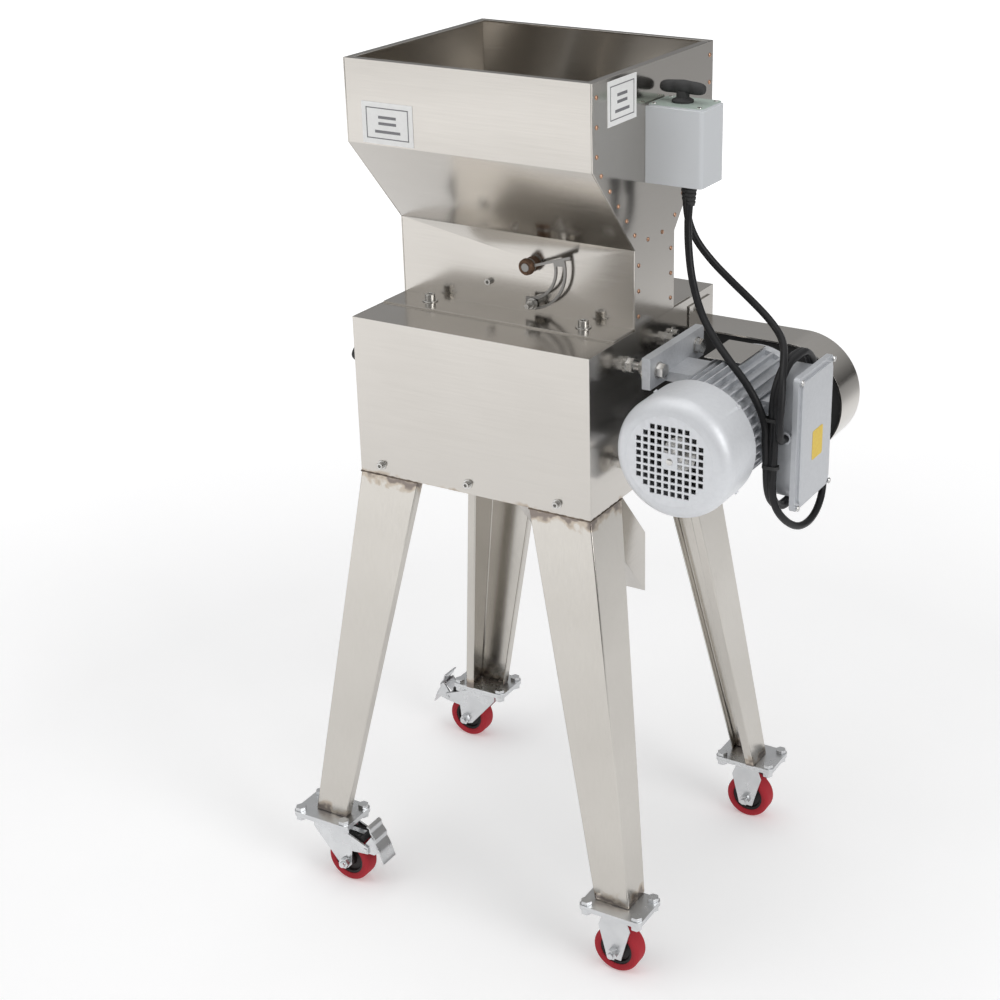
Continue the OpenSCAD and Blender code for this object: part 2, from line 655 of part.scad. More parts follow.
// ------------------------------------------------------------------ chute
module chute() color(steel) place() {
    drop = (chute_end_y - chute_y0) * tan(chute_slope);
    lip = (chute_end_y - chute_y0 - chute_mouth) * tan(chute_slope);
    outline = [[chute_y0, body_z], [chute_y0 + chute_mouth, body_z],
        [chute_end_y, body_z - lip], [chute_end_y, body_z - drop]];
    for (x = [nip_x - chute_w / 2, nip_x + chute_w / 2 - 2]) yz(x, 2) polygon(outline);
    yz(nip_x - chute_w / 2, chute_w) polygon([[chute_y0, body_z], [chute_y0 + 2.6, body_z],
        [chute_end_y, body_z - drop + 3.1], [chute_end_y, body_z - drop]]);
}

// ------------------------------------------------------------------ rollers and bearings
module both_ends() for (sy = [-1, 1]) mirror([0, sy > 0 ? 0 : 1, 0]) children();

module bearing_plate() difference() {
    block(-hw + sheet_t, hw - sheet_t, plate_y0, plate_y0 + bearing_w, body_z + sheet_t,
        body_top - 28);
    block(moving_x - block_w / 2 - travel_out - gap, moving_x + block_w / 2 + travel_in + gap,
        plate_y0 - 1, plate_y0 + bearing_w + 1, roller_z - block_lo - gap,
        roller_z + block_hi + gap);
    rod_y(fixed_x, plate_y0 - 1, roller_z, bearing_r + fit, bearing_w + 2);
    rod_x(-hw, screw_y, screw_z, screw_r + gap, hw + moving_x);
}
module bearing_plates() color(dark_steel) place() both_ends() bearing_plate();

module bearing(x) {
    difference() {
        rod_y(x, plate_y0, roller_z, bearing_r, bearing_w);
        rod_y(x, plate_y0 - 1, roller_z, shaft_r + fit, bearing_w + 2);
    }
}
module fixed_bearings() color(zinc) place() both_ends() bearing(fixed_x);
module sliding_bearings() color(zinc) place() both_ends() bearing(moving_x);

module sliding_blocks() color(dark_steel) place() both_ends() difference() {
    block(moving_x - block_w / 2, moving_x + block_w / 2, plate_y0, plate_y0 + bearing_w,
        roller_z - block_lo, roller_z + block_hi);
    rod_y(moving_x, plate_y0 - 1, roller_z, bearing_r + fit, bearing_w + 2);
}

module roller(x, front, rear) {
    translate([x, roller_len / 2, roller_z]) rotate([90, 0, 0]) linear_extrude(roller_len)
        difference() {
            circle(d = roller_d, $fn = 120);
            for (i = [0:groove_n - 1]) rotate(360 * i / groove_n + 180 / groove_n)
                translate([roller_d / 2, 0]) square([3, 2], center = true);
        }
    rod_y(x, front, roller_z, shaft_r, rear - front);
}
module drive_roller() color(dark_steel) place()
    roller(fixed_x, -gear_y - gear_w - 4, pulley_y + pulley_w + 4);
module driven_roller() color(dark_steel) place()
    roller(moving_x, -gear_y - gear_w - 4, plate_y0 + bearing_w + 6);

gear_module = (roller_d + roller_gap - travel_in - 0.1) / gear_teeth;
module gear(x, turn) translate([x, -gear_y, roller_z]) rotate([90, 0, 0]) difference() {
    linear_extrude(gear_w) rotate(turn) gear_outline(gear_module, gear_teeth, 0.35);
    translate([0, 0, -1]) cylinder(r = shaft_r + fit, h = gear_w + 2);
}
module drive_gear() color(dark_steel) place() gear(fixed_x, 180 + 180 / gear_teeth);
module driven_gear() color(dark_steel) place() gear(moving_x, 0);

// ------------------------------------------------------------------ belt drive
belt_t = 8;
module pulley(x, z, r, bore) translate([x, pulley_y, z]) rotate([-90, 0, 0]) rotate_extrude($fn = 96) {
    w = (pulley_w - belt_w) / 2 - 0.4;
    polygon([[bore, 0], [r, 0], [r, w], [r - belt_t - 0.4, w], [r - belt_t - 0.4, pulley_w - w],
        [r, pulley_w - w], [r, pulley_w], [bore, pulley_w]]);
}
module roller_pulley() color(dark_steel) place()
    pulley(fixed_x, roller_z, big_pulley_r, shaft_r + fit);
module motor_pulley() color(dark_steel) place() pulley(motor_x, motor_z, small_pulley_r, 9.5 + fit);

// Outline round both pulleys; grow moves it out from their rims
belt_c1 = [fixed_x, roller_z];
belt_c2 = [motor_x, motor_z];
belt_lean = atan2(belt_c2[1] - belt_c1[1], belt_c2[0] - belt_c1[0]);
belt_wrap = acos((big_pulley_r - small_pulley_r) / norm(belt_c2 - belt_c1));
belt_steps = 24;
function belt_loop(grow) = concat(
    [for (i = [0:belt_steps]) belt_c1 + polar(big_pulley_r + grow,
        belt_lean + belt_wrap + (360 - 2 * belt_wrap) * i / belt_steps)],
    [for (i = [0:belt_steps]) belt_c2 + polar(small_pulley_r + grow,
        belt_lean - belt_wrap + 2 * belt_wrap * i / belt_steps)]);
module drive_belt() color(black) place()
    xz(pulley_y + (pulley_w - belt_w) / 2, belt_w) difference() {
        polygon(belt_loop(0));
        polygon(belt_loop(-belt_t));
    }

module guard_outline(r, past_wall = 0) {
    translate([guard_x, guard_z]) circle(r = r, $fn = 120);
    translate([hw - past_wall, guard_z - r]) square([guard_x - hw + past_wall, 2 * r]);
}
module belt_guard() color(steel) place() {
    xz(guard_y, guard_d) difference() {
        guard_outline(guard_r);
        guard_outline(guard_r - sheet_t, 1);
    }
    xz(guard_y + guard_d - sheet_t, sheet_t) guard_outline(guard_r - 1);
    difference() {
        union() {
            block(hw, hw + sheet_t, guard_y, guard_y + guard_d, guard_z + guard_r - 1,
                guard_z + guard_r + 26);
            block(hw, hw + sheet_t, guard_y, guard_y + guard_d, body_z + 0.5,
                guard_z - guard_r + 1);
        }
        at_guard_screws() hole(2.5);
    }
}
module guard_back_plate() color(black) place() xz(guard_y + 3, 2) difference() {
    guard_outline(guard_r - sheet_t - 0.2);
    translate([hw - 10, guard_z - 100]) square([10.2, 200]);
    translate([motor_x, motor_z]) circle(r = 16);
}

// ------------------------------------------------------------------ gap handwheels
hand_r = 40;
module handwheel(y) {
    difference() {
        union() {
            rod_x(wheel_x - 26, y, screw_z, 33, 22);
            rod_x(wheel_x - 4.5, y, screw_z, 20, 4.5);
            for (i = [0:7]) rod_x(wheel_x - 25, y + (hand_r - 9) * cos(45 * i),
                screw_z + (hand_r - 9) * sin(45 * i), 9, 20);
        }
        rod_x(wheel_x - 30, y, screw_z, 27, 12);
    }
    rod_x(wheel_x - 1, y, screw_z, screw_r, moving_x - block_w / 2 - gap - wheel_x + 1);
    rod_x(wheel_x - 23, y, screw_z, 1.5, 6);
}
module dial_hand(y) difference() {
    union() {
        rod_x(wheel_x - 22, y, screw_z, 4, 2);
        block(wheel_x - 22, wheel_x - 21, y - 1, y + 1, screw_z - 8, screw_z + 20);
    }
    rod_x(wheel_x - 30, y, screw_z, 1.5 + fit, 40);
}
module handwheel_node(s) color(black) place() handwheel(s * screw_y);
module front_handwheel() handwheel_node(-1);
module rear_handwheel() handwheel_node(1);
module front_dial_hand() color(red) place() dial_hand(-screw_y);
module rear_dial_hand() color(red) place() dial_hand(screw_y);

// ------------------------------------------------------------------ motor
fin_n = 36;
module motor_housing() color(grey_paint) place() {
    difference() {
        union() {
            rod_y(motor_x, house_y0, motor_z, core_r, house_y1 - house_y0);
            rod_y(motor_x, house_y0, motor_z, cowl_r - cowl_t - 0.1, 10);
            rod_y(motor_x, house_y1, motor_z, fin_r - 2, 13);
            rod_y(motor_x, house_y1 + 12, motor_z, 24, 8);
            for (i = [0:fin_n - 1]) translate([motor_x, 0, motor_z]) rotate([0, 360 * i / fin_n, 0])
                block(core_r - 2, fin_r, house_y0 + 9, house_y1 + 1, -1.1, 1.1);
            block(motor_x + core_r - 20, box_x0, box_y0 + 17, box_y1 - 17, motor_z - 38,
                motor_z + 38);
            for (s = [-1, 1]) {
                block(foot_x, foot_x + foot_t, motor_y - foot_b / 2 - 20, motor_y + foot_b / 2 + 20,
                    motor_z + s * foot_a / 2 - 19, motor_z + s * foot_a / 2 + 19);
                block(foot_x + 5, motor_x - 22, motor_y - foot_b / 2 + 22, motor_y + foot_b / 2 - 22,
                    motor_z + s * 48 - 6, motor_z + s * 48 + 6);
            }
        }
        rod_y(motor_x, house_y0 - 1, motor_z, 9.5 + fit, 300);
        rod_y(motor_x, house_y0 + 12, motor_z, 50, 32);
        rod_y(motor_x, house_y0 + 43, motor_z, core_bore, 82);
        rod_y(motor_x, house_y1 - 41, motor_z, 50, 32);
        rod_x(motor_x + 30, motor_y, motor_z, 10, 60);
        for (y = [-1, 1], s = [-1, 1])
            rod_x(foot_x - 1, motor_y + y * foot_b / 2, motor_z + s * foot_a / 2, 5.3, 20);
    }
}
module motor_rotor() color(zinc) place() {
    rod_y(motor_x, cowl_y + 20, motor_z, 9.5, pulley_y + pulley_w + 4 - cowl_y - 20);
    rod_y(motor_x, house_y0 + 46, motor_z, core_bore - 0.4, 76);
    rod_y(motor_x, cowl_y + 26, motor_z, 20, 26);
    rod_y(motor_x, cowl_y + 50, motor_z, 56, 2.5);
    for (i = [0:7]) translate([motor_x, 0, motor_z]) rotate([0, 45 * i, 0])
        block(18, 56, cowl_y + 28, cowl_y + 51, -1, 1);
}
grille_pitch = 8.6;
grille_hole = 6.1;
module grille_outline() difference() {
    circle(r = 54);
    for (i = [-5:4], j = [-5:4])
        if (norm([i + 0.5, j + 0.5]) < 5.4 && max(abs(i + 0.5), abs(j + 0.5)) > 1)
            translate([grille_pitch * (i + 0.5), grille_pitch * (j + 0.5)])
                square(grille_hole, center = true);
    circle(r = 1.6);
}
cowl_bend = 20;
cowl_l = 71;
function cowl_arc(r, a) = [cowl_r - cowl_bend + r * sin(a), cowl_bend - r * cos(a)];
module fan_cowl() color(grey_paint) place() {
    translate([motor_x, cowl_y, motor_z]) rotate([-90, 0, 0]) rotate_extrude($fn = 96) {
        polygon(concat([[cowl_r - cowl_bend, 0], [cowl_r - cowl_bend, cowl_t]],
            [for (a = [0:15:90]) cowl_arc(cowl_bend - cowl_t, a)],
            [[cowl_r - cowl_t, cowl_l], [cowl_r, cowl_l]],
            [for (a = [90:-15:0]) cowl_arc(cowl_bend, a)]));
    }
    translate([motor_x, 0, motor_z]) xz(cowl_y, cowl_t) grille_outline();
    for (a = [45, 135, 225, 315]) translate([motor_x, cowl_y + cowl_l - 4, motor_z]) rotate([0, a, 0])
        rod_x(cowl_r - 1, 0, 0, 2.5, 3);
}

module motor_studs() color(zinc) place()
    for (y = [-1, 1], s = [-1, 1]) translate([0, motor_y + y * foot_b / 2, motor_z + s * foot_a / 2]) {
        rod_x(hw - sheet_t + 0.1, 0, 0, 5, foot_gap + 22);
        for (x = [hw + 2, foot_x - 11, foot_x + foot_t + 1.5]) hex_x(x, 0, 0, 16, 8);
        rod_x(hw, 0, 0, 10, 2.01);
        rod_x(foot_x - 3, 0, 0, 17, 3);
        rod_x(foot_x + foot_t, 0, 0, 10, 1.51);
    }

box_in = 6;                                   // base is this much smaller than the lid all round
box_r = 30;
gland_x = box_x1 - 7.5;
gland_z = motor_z + 4;
module box_outline(inset, r) translate([(box_y0 + box_y1) / 2, (box_z0 + box_z1) / 2])
    rounded(box_y1 - box_y0 - 2 * inset, box_z1 - box_z0 - 2 * inset, r);
module terminal_box() color(grey_paint) place() difference() {
    union() {
        yz(box_x0, box_x1 - box_x0) box_outline(box_in, box_r);
        rod_y(gland_x, box_y0, gland_z, 7, box_in + 1);
    }
    yz(box_x0 + 3, box_x1) box_outline(box_in + 3, box_r - 3);
    rod_y(gland_x, box_y0 - 2, gland_z, lead_d / 2 + 0.2, 16);
    rod_x(box_x0 - 1, motor_y, motor_z, 10, 8);
}
module terminal_lid() color(grey_paint) place() {
    difference() {
        yz(box_x1, lid_t - 3) box_outline(0, 6);
        yz(box_x1 - 1, lid_t - 4) box_outline(box_in + 3, box_r - 3);
    }
    yz(box_x1 + lid_t - 3.01, 3.01) box_outline(6, 10);
    for (y = [box_y0 + 4, box_y1 - 4], z = [box_z0 + 5, box_z1 - 5])
        rod_x(box_x1 + lid_t - 3.01, y, z, 3, 4.51);
}

// ------------------------------------------------------------------ switch and leads
switch_y = 2;
module switch_housing() color(grey_paint) place() difference() {
    union() {
        translate([hw + switch_w / 2, switch_y, switch_z0]) linear_extrude(switch_h - 2)
            rounded(switch_w, switch_d, 5);
        block(hw, hw + 10, switch_y - switch_d / 2, switch_y + switch_d / 2, switch_z0, switch_z1 - 2);
        translate([hw + switch_w / 2, switch_y, switch_z1 - 2.01]) linear_extrude(2.01)
            rounded(switch_w - 4, switch_d - 4, 4);
    }
    translate([hw + switch_w / 2, switch_y, switch_z0 + 2.5]) linear_extrude(switch_h - 7)
        rounded(switch_w - 6, switch_d - 6, 3);
    translate([handle_x, switch_y, switch_z0 + 50]) cylinder(r = 5 + fit, h = 60);
    for (p = [MOTOR_LEAD[0], MAINS_LEAD[0]])
        translate([p[0], p[1], switch_z0 - 1]) cylinder(r = lead_d / 2 + 0.2, h = 6);
}
handle_x = hw + switch_w / 2 - 3;
module switch_handle() color(black) place() translate([handle_x, switch_y, 0]) {
    translate([0, 0, switch_z1 - 18]) cylinder(r = 5, h = 24);
    translate([0, 0, switch_z1 + gap]) cylinder(r = 8, h = 11);
    translate([0, 0, switch_z1 + 9]) linear_extrude(17) rounded(58, 15, 6);
}

module motor_lead() color(black) place() tube(MOTOR_LEAD, lead_d);
module mains_lead() color(black) place() {
    tube(MAINS_LEAD, lead_d);
    tube(MAINS_TAIL, lead_d);
}
module mains_coil() color(black) place() {
    y = (box_y0 + box_y1) / 2;
    z = (box_z0 + box_z1) / 2;
    w = box_y1 - box_y0 + 2 * coil_in + 2 * lead_d;
    h = box_z1 - box_z0 + 2 * coil_in + 2 * lead_d;
    translate([0, y, z]) yz(coil_x0, 2 * lead_d) difference() {
        rounded(w, h, w / 2 - 8);
        rounded(w - 2 * lead_d, h - 2 * lead_d, w / 2 - 8 - lead_d);
    }
}
module mains_plug() color(black) place() translate(plug_at) {
    cylinder(r = 8, h = 12);
    translate([0, 0, 12]) cylinder(r = 15, h = 26);
    for (x = [-6, 6]) translate([x, 0, 37]) cylinder(r = 2.4, h = 19);
}

body_shell();
front_cover();
body_screws();
label_plates();
leg_front_left();
leg_front_right();
leg_rear_left();
leg_rear_right();
foot_plates();
foot_bolts();
rigid_forks();
swivel_plates();
fork_front_left();
fork_rear_left();
wheel_front_left();
wheel_front_right();
wheel_rear_left();
wheel_rear_right();
pedal_front_left();
pedal_rear_left();
hopper_front_sheet();
hopper_rear_sheet();
hopper_left_panel();
hopper_right_panel();
hopper_rivets();
flange_bolts();
feed_baffles();
gate_flap();
gate_sector();
gate_fittings();
chute();
bearing_plates();
fixed_bearings();
sliding_blocks();
sliding_bearings();
drive_roller();
driven_roller();
drive_gear();
driven_gear();
roller_pulley();
drive_belt();
belt_guard();
guard_back_plate();
front_handwheel();
rear_handwheel();
front_dial_hand();
rear_dial_hand();
motor_housing();
motor_rotor();
fan_cowl();
motor_pulley();
motor_studs();
terminal_box();
terminal_lid();
switch_housing();
switch_handle();
motor_lead();
mains_lead();
mains_coil();
mains_plug();
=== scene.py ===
"""Looks of a motor-driven roller crusher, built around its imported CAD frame.

Everything is in metres in the frame of the CAD model: +Z up, the floor at z = 0, the
wide cover faces -Y, the motor hangs on the +X wall and the chute opens towards +Y.
Each sub-assembly is a class that takes its places from the CAD nodes' own boxes.
"""

from __future__ import annotations

import json
import logging
import math
from dataclasses import dataclass, field
from enum import Enum
from typing import Iterable, Sequence

import bmesh
import bpy
from mathutils import Matrix, Vector

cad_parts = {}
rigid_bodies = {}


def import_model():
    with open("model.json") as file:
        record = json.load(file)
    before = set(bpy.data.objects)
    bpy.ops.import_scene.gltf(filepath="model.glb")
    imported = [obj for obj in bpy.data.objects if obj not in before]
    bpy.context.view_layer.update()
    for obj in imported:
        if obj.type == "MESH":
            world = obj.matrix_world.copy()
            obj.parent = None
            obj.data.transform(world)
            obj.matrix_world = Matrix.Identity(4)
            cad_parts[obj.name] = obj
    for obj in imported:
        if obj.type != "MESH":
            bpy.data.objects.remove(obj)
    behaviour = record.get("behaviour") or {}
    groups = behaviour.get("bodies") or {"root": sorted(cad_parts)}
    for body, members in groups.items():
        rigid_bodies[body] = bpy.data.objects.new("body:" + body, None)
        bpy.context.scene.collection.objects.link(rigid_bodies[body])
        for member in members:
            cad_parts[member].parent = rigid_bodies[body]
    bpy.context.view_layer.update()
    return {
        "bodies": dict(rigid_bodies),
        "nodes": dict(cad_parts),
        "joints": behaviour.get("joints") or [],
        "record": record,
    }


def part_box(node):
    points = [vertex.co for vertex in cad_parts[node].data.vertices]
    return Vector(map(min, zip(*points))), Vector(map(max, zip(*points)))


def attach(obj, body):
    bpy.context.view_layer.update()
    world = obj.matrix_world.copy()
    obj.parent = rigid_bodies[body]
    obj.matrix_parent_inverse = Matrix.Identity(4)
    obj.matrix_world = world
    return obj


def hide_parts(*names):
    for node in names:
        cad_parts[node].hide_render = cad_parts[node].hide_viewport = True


LOG = logging.getLogger("crusher")
Point = Sequence[float]
Outline = list[tuple[float, float]]
Colour = tuple[float, float, float]
Socket = bpy.types.NodeSocket
Solid = list[list[Vector]]

WELD_THRESHOLD = 1e-6
"""Corners of a new mesh closer than this are one corner."""
CAD_THRESHOLD = 2e-6
"""The same for a mesh that comes from the CAD."""
FLAT_ENOUGH = math.radians(0.4)
"""Faces of a CAD mesh that turn less than this are joined into one."""
SHARP_EDGE = math.radians(34)
BEVELLED_EDGE = math.radians(32)


# ------------------------------------------------------------------ finishes
class Grain(Enum):
    """How a surface was worked, which sets the direction and size of its fine marks."""

    SIDEWAYS = (1.0, 1.0, 55.0)
    UPRIGHT = (55.0, 55.0, 1.0)
    EVEN = (1.0, 1.0, 1.0)


STRAW_STAIN: Colour = (0.34, 0.24, 0.14)
SOOT_STAIN: Colour = (0.12, 0.10, 0.10)


@dataclass(frozen=True)
class Finish:
    """One surface finish, drawn with procedural nodes.

    Attributes:
        name: Its material's name.
        colour: Its main colour.
        shade: The colour of its fine marks and clouds.
        metallic: How metallic it is, from 0 to 1.
        roughness: Its roughness where it is smoothest and roughest.
        grain: How its surface was worked.
        scale: Fine marks to the metre.
        bump: How strongly the marks stand out.
        depth: How deep the marks are.
        coat: The weight of a clear coat.
        gloss: The specular level of a surface that isn't metal.
        welds: Heights at which welding has stained it.
        reach: How far a weld's stain spreads.
    """

    name: str
    colour: Colour
    shade: Colour
    metallic: float = 0.0
    roughness: tuple[float, float] = (0.35, 0.5)
    grain: Grain = Grain.EVEN
    scale: float = 30.0
    bump: float = 0.1
    depth: float = 0.0002
    coat: float = 0.0
    gloss: float = 0.5
    welds: tuple[float, ...] = ()
    reach: float = 0.02

    def material(self) -> bpy.types.Material:
        """Looks up this finish's material, and builds it on first use.

        Returns:
            The material.
        """
        found = bpy.data.materials.get(self.name)
        return found if found else FinishNodes(self).build()


class FinishNodes:
    """Builds the node tree of one finish."""

    def __init__(self, finish: Finish) -> None:
        """Starts an empty material.

        Args:
            finish: The finish to draw.
        """
        self.finish = finish
        self.made = bpy.data.materials.new(finish.name)
        self.made.use_nodes = True
        self.tree = self.made.node_tree
        self.shader = self.tree.nodes["Principled BSDF"]
        self.coords = self.tree.nodes.new("ShaderNodeTexCoord").outputs["Object"]

    def link(self, source: Socket, target: Socket) -> None:
        """Joins two sockets.

        Args:
            source: The output that gives the value.
            target: The input that takes it.
        """
        self.tree.links.new(source, target)

    def noise(self, scale: float, stretch: Point, detail: float = 5.0) -> Socket:
        """Adds a noise field.

        Args:
            scale: Noise cells to the metre, before stretching.
            stretch: How many times finer the field is along X, Y and Z.
            detail: Octaves of finer noise.

        Returns:
            The noise node's factor.
        """
        mapping = self.tree.nodes.new("ShaderNodeMapping")
        mapping.inputs["Scale"].default_value = stretch
        node = self.tree.nodes.new("ShaderNodeTexNoise")
        node.inputs["Scale"].default_value = scale
        node.inputs["Detail"].default_value = detail
        self.link(self.coords, mapping.inputs["Vector"])
        self.link(mapping.outputs["Vector"], node.inputs["Vector"])
        return node.outputs["Fac"]

    def span(self, value: Socket, given: Point, wanted: Point) -> Socket:
        """Maps a value from one range to another, clamped.

        Args:
            value: What is mapped.
            given: The range it comes in.
            wanted: The range it leaves with.

        Returns:
            The mapped value.
        """
        node = self.tree.nodes.new("ShaderNodeMapRange")
        node.interpolation_type = "SMOOTHSTEP"
        ends = (*given, *wanted)
        for name, end in zip(("From Min", "From Max", "To Min", "To Max"), ends):
            node.inputs[name].default_value = end
        self.link(value, node.inputs["Value"])
        return node.outputs["Result"]

    def mixed(self, factor: Socket, low: Socket | Colour, high: Colour) -> Socket:
        """Mixes two colours.

        Args:
            factor: 0 gives low and 1 gives high.
            low: A colour, or the socket that holds one.
            high: A colour.

        Returns:
            The mixed colour.
        """
        node = self.tree.nodes.new("ShaderNodeMix")
        node.data_type = "RGBA"
        self.link(factor, node.inputs["Factor"])
        if isinstance(low, bpy.types.NodeSocket):
            self.link(low, node.inputs["A"])
        else:
            node.inputs["A"].default_value = (*low, 1.0)
        node.inputs["B"].default_value = (*high, 1.0)
        return node.outputs["Result"]

    def joined(self, first: Socket, second: Socket, operation: str = "ADD") -> Socket:
        """Adds two values, or joins them by another operation.

        Args:
            first: One value.
            second: The other value.
            operation: The Math node's operation.

        Returns:
            The result.
        """
        node = self.tree.nodes.new("ShaderNodeMath")
        node.operation = operation
        self.link(first, node.inputs[0])
        self.link(second, node.inputs[1])
        return node.outputs[0]

    def heat(self, rough: Socket) -> Socket:
        """Works out how strongly welding has coloured the steel near the weld heights.

        Args:
            rough: Noise that makes the band's edge uneven.

        Returns:
            0 far from a weld and 1 on it.
        """
        reach = self.finish.reach
        split = self.tree.nodes.new("ShaderNodeSeparateXYZ")
        self.link(self.coords, split.inputs[0])
        uneven = self.span(rough, (0.3, 0.7), (-0.4 * reach, 0.4 * reach))
        height = self.joined(split.outputs["Z"], uneven)
        total = None
        for weld in self.finish.welds:
            above = self.span(height, (weld, weld + reach), (1.0, 0.0))
            below = self.span(height, (weld - reach, weld), (0.0, 1.0))
            band = self.joined(above, below, "MULTIPLY")
            total = band if total is None else self.joined(total, band, "MAXIMUM")
        return total

    def build(self) -> bpy.types.Material:
        """Draws the finish: fine marks and slow clouds, and heat stain where it is welded.

        Returns:
            The finished material.
        """
        finish = self.finish
        marks = self.noise(finish.scale, finish.grain.value)
        clouds = self.noise(5.0, (1.0, 1.0, 1.4), 3.0)
        both = self.joined(self.span(marks, (0.2, 0.8), (0.0, 0.45)),
                           self.span(clouds, (0.25, 0.75), (0.0, 0.55)))
        colour = self.mixed(both, finish.colour, finish.shade)
        rough = self.span(both, (0.0, 1.0), finish.roughness)
        if finish.welds:
            heat = self.heat(self.noise(60.0, (1.0, 1.0, 1.0), 2.0))
            straw = self.span(heat, (0.05, 0.6), (0.0, 0.45))
            soot = self.span(heat, (0.6, 1.0), (0.0, 0.7))
            colour = self.mixed(straw, colour, STRAW_STAIN)
            colour = self.mixed(soot, colour, SOOT_STAIN)
        self.link(colour, self.shader.inputs["Base Color"])
        self.link(rough, self.shader.inputs["Roughness"])
        self.shader.inputs["Metallic"].default_value = finish.metallic
        self.shader.inputs["Coat Weight"].default_value = finish.coat
        self.shader.inputs["Specular IOR Level"].default_value = finish.gloss
        bump = self.tree.nodes.new("ShaderNodeBump")
        bump.inputs["Strength"].default_value = finish.bump
        bump.inputs["Distance"].default_value = finish.depth
        self.link(marks, bump.inputs["Height"])
        self.link(bump.outputs["Normal"], self.shader.inputs["Normal"])
        return self.made


WELD_TOP = 0.589
"""Height of the legs' upper welds."""
WELD_FOOT = 0.097
"""Height of the legs' lower welds."""

SHEET = Finish("brushed_sheet", (0.60, 0.575, 0.54), (0.55, 0.525, 0.49), 1.0, (0.15, 0.22),
               Grain.SIDEWAYS, 16.0, 0.0, 0.0001, welds=(WELD_TOP - 0.006,), reach=0.010)
HOPPER = Finish("hopper_sheet", (0.58, 0.555, 0.52), (0.53, 0.505, 0.47), 1.0, (0.14, 0.21),
                Grain.SIDEWAYS, 16.0, 0.0, 0.0001)
LEG = Finish("leg_sheet", (0.62, 0.595, 0.555), (0.56, 0.535, 0.495), 1.0, (0.17, 0.25),
             Grain.UPRIGHT, 16.0, 0.0, 0.0001, welds=(WELD_TOP, WELD_FOOT), reach=0.018)
WELD = Finish("weld_bead", (0.30, 0.24, 0.18), (0.10, 0.085, 0.08), 1.0, (0.35, 0.6),
              scale=400.0, bump=0.5, depth=0.0006)
RUSTY = Finish("rusty_boss", (0.30, 0.17, 0.10), (0.10, 0.07, 0.055), 0.85, (0.45, 0.75),
               scale=260.0, bump=0.6, depth=0.0006)
DARK_STEEL = Finish("dark_steel", (0.36, 0.34, 0.31), (0.20, 0.185, 0.17), 1.0, (0.28, 0.5),
                    scale=120.0, bump=0.15)
ZINC = Finish("zinc_plate", (0.74, 0.75, 0.76), (0.62, 0.63, 0.64), 1.0, (0.2, 0.36),
              scale=60.0, bump=0.03, depth=0.0002)
SCREW = Finish("bright_screw", (0.70, 0.69, 0.67), (0.50, 0.49, 0.47), 1.0, (0.18, 0.34),
               scale=200.0, bump=0.08)
COPPER = Finish("copper_rivet", (0.66, 0.40, 0.27), (0.42, 0.24, 0.16), 1.0, (0.3, 0.5),
                scale=300.0, bump=0.2)
BRASS = Finish("brass_screw", (0.72, 0.53, 0.24), (0.50, 0.35, 0.14), 1.0, (0.25, 0.4),
               scale=300.0, bump=0.1)
ENAMEL = Finish("silver_enamel", (0.74, 0.755, 0.78), (0.66, 0.675, 0.70), 0.25, (0.36, 0.48),
                scale=180.0, bump=0.04, depth=0.0002, coat=0.05)
BOX_ENAMEL = Finish("grey_enamel", (0.52, 0.535, 0.56), (0.46, 0.475, 0.50), 0.2, (0.28, 0.38),
                    scale=180.0, bump=0.03, depth=0.0002, coat=0.2)
FIN_ENAMEL = Finish("cast_enamel", (0.66, 0.675, 0.70), (0.52, 0.535, 0.56), 0.35, (0.32, 0.48),
                    scale=240.0, bump=0.15, depth=0.0004, coat=0.1)
SWITCH_GREY = Finish("switch_grey", (0.21, 0.22, 0.235), (0.185, 0.195, 0.21), 0.0, (0.34, 0.46),
                     scale=500.0, bump=0.12, depth=0.0002, gloss=0.35)
PLATE_WHITE = Finish("switch_plate", (0.42, 0.50, 0.45), (0.36, 0.43, 0.39), 0.1, (0.3, 0.42),
                     scale=400.0, bump=0.08)
BLACK_PLASTIC = Finish("black_plastic", (0.007, 0.007, 0.008), (0.014, 0.014, 0.015), 0.0,
                       (0.28, 0.42), scale=700.0, bump=0.2, depth=0.0002, gloss=0.3)
RUBBER = Finish("lead_rubber", (0.006, 0.006, 0.007), (0.013, 0.013, 0.014), 0.0, (0.34, 0.48),
                scale=350.0, bump=0.12, depth=0.0002, gloss=0.3)
BELT = Finish("belt_rubber", (0.012, 0.012, 0.012), (0.03, 0.028, 0.026), 0.0, (0.6, 0.8),
              scale=500.0, bump=0.3, depth=0.0003, gloss=0.25)
TREAD = Finish("red_tread", (0.16, 0.004, 0.007), (0.10, 0.003, 0.005), 0.0, (0.18, 0.32),
               scale=160.0, bump=0.08, coat=0.35, gloss=0.4)
HUB = Finish("wheel_hub", (0.022, 0.014, 0.014), (0.012, 0.010, 0.010), 0.0, (0.35, 0.5),
             scale=500.0, bump=0.2, gloss=0.35)
NOTICE = Finish("notice_white", (0.86, 0.86, 0.85), (0.78, 0.78, 0.77), 0.0, (0.3, 0.4),
                scale=200.0, bump=0.04)
NOTICE_INK = Finish("notice_ink", (0.16, 0.16, 0.17), (0.22, 0.22, 0.23), 0.0, (0.35, 0.45),
                    scale=600.0, bump=0.04)
NOTICE_YELLOW = Finish("notice_yellow", (0.76, 0.56, 0.02), (0.64, 0.36, 0.0), 0.0, (0.3, 0.4),
                       scale=300.0, bump=0.04)
ARC_RED = Finish("scale_red", (0.45, 0.02, 0.03), (0.36, 0.015, 0.02), 0.0, (0.35, 0.45),
                 scale=300.0, bump=0.05)
DIAL = Finish("dial_white", (0.85, 0.85, 0.84), (0.79, 0.79, 0.78), 0.0, (0.25, 0.35),
              scale=300.0, bump=0.03)
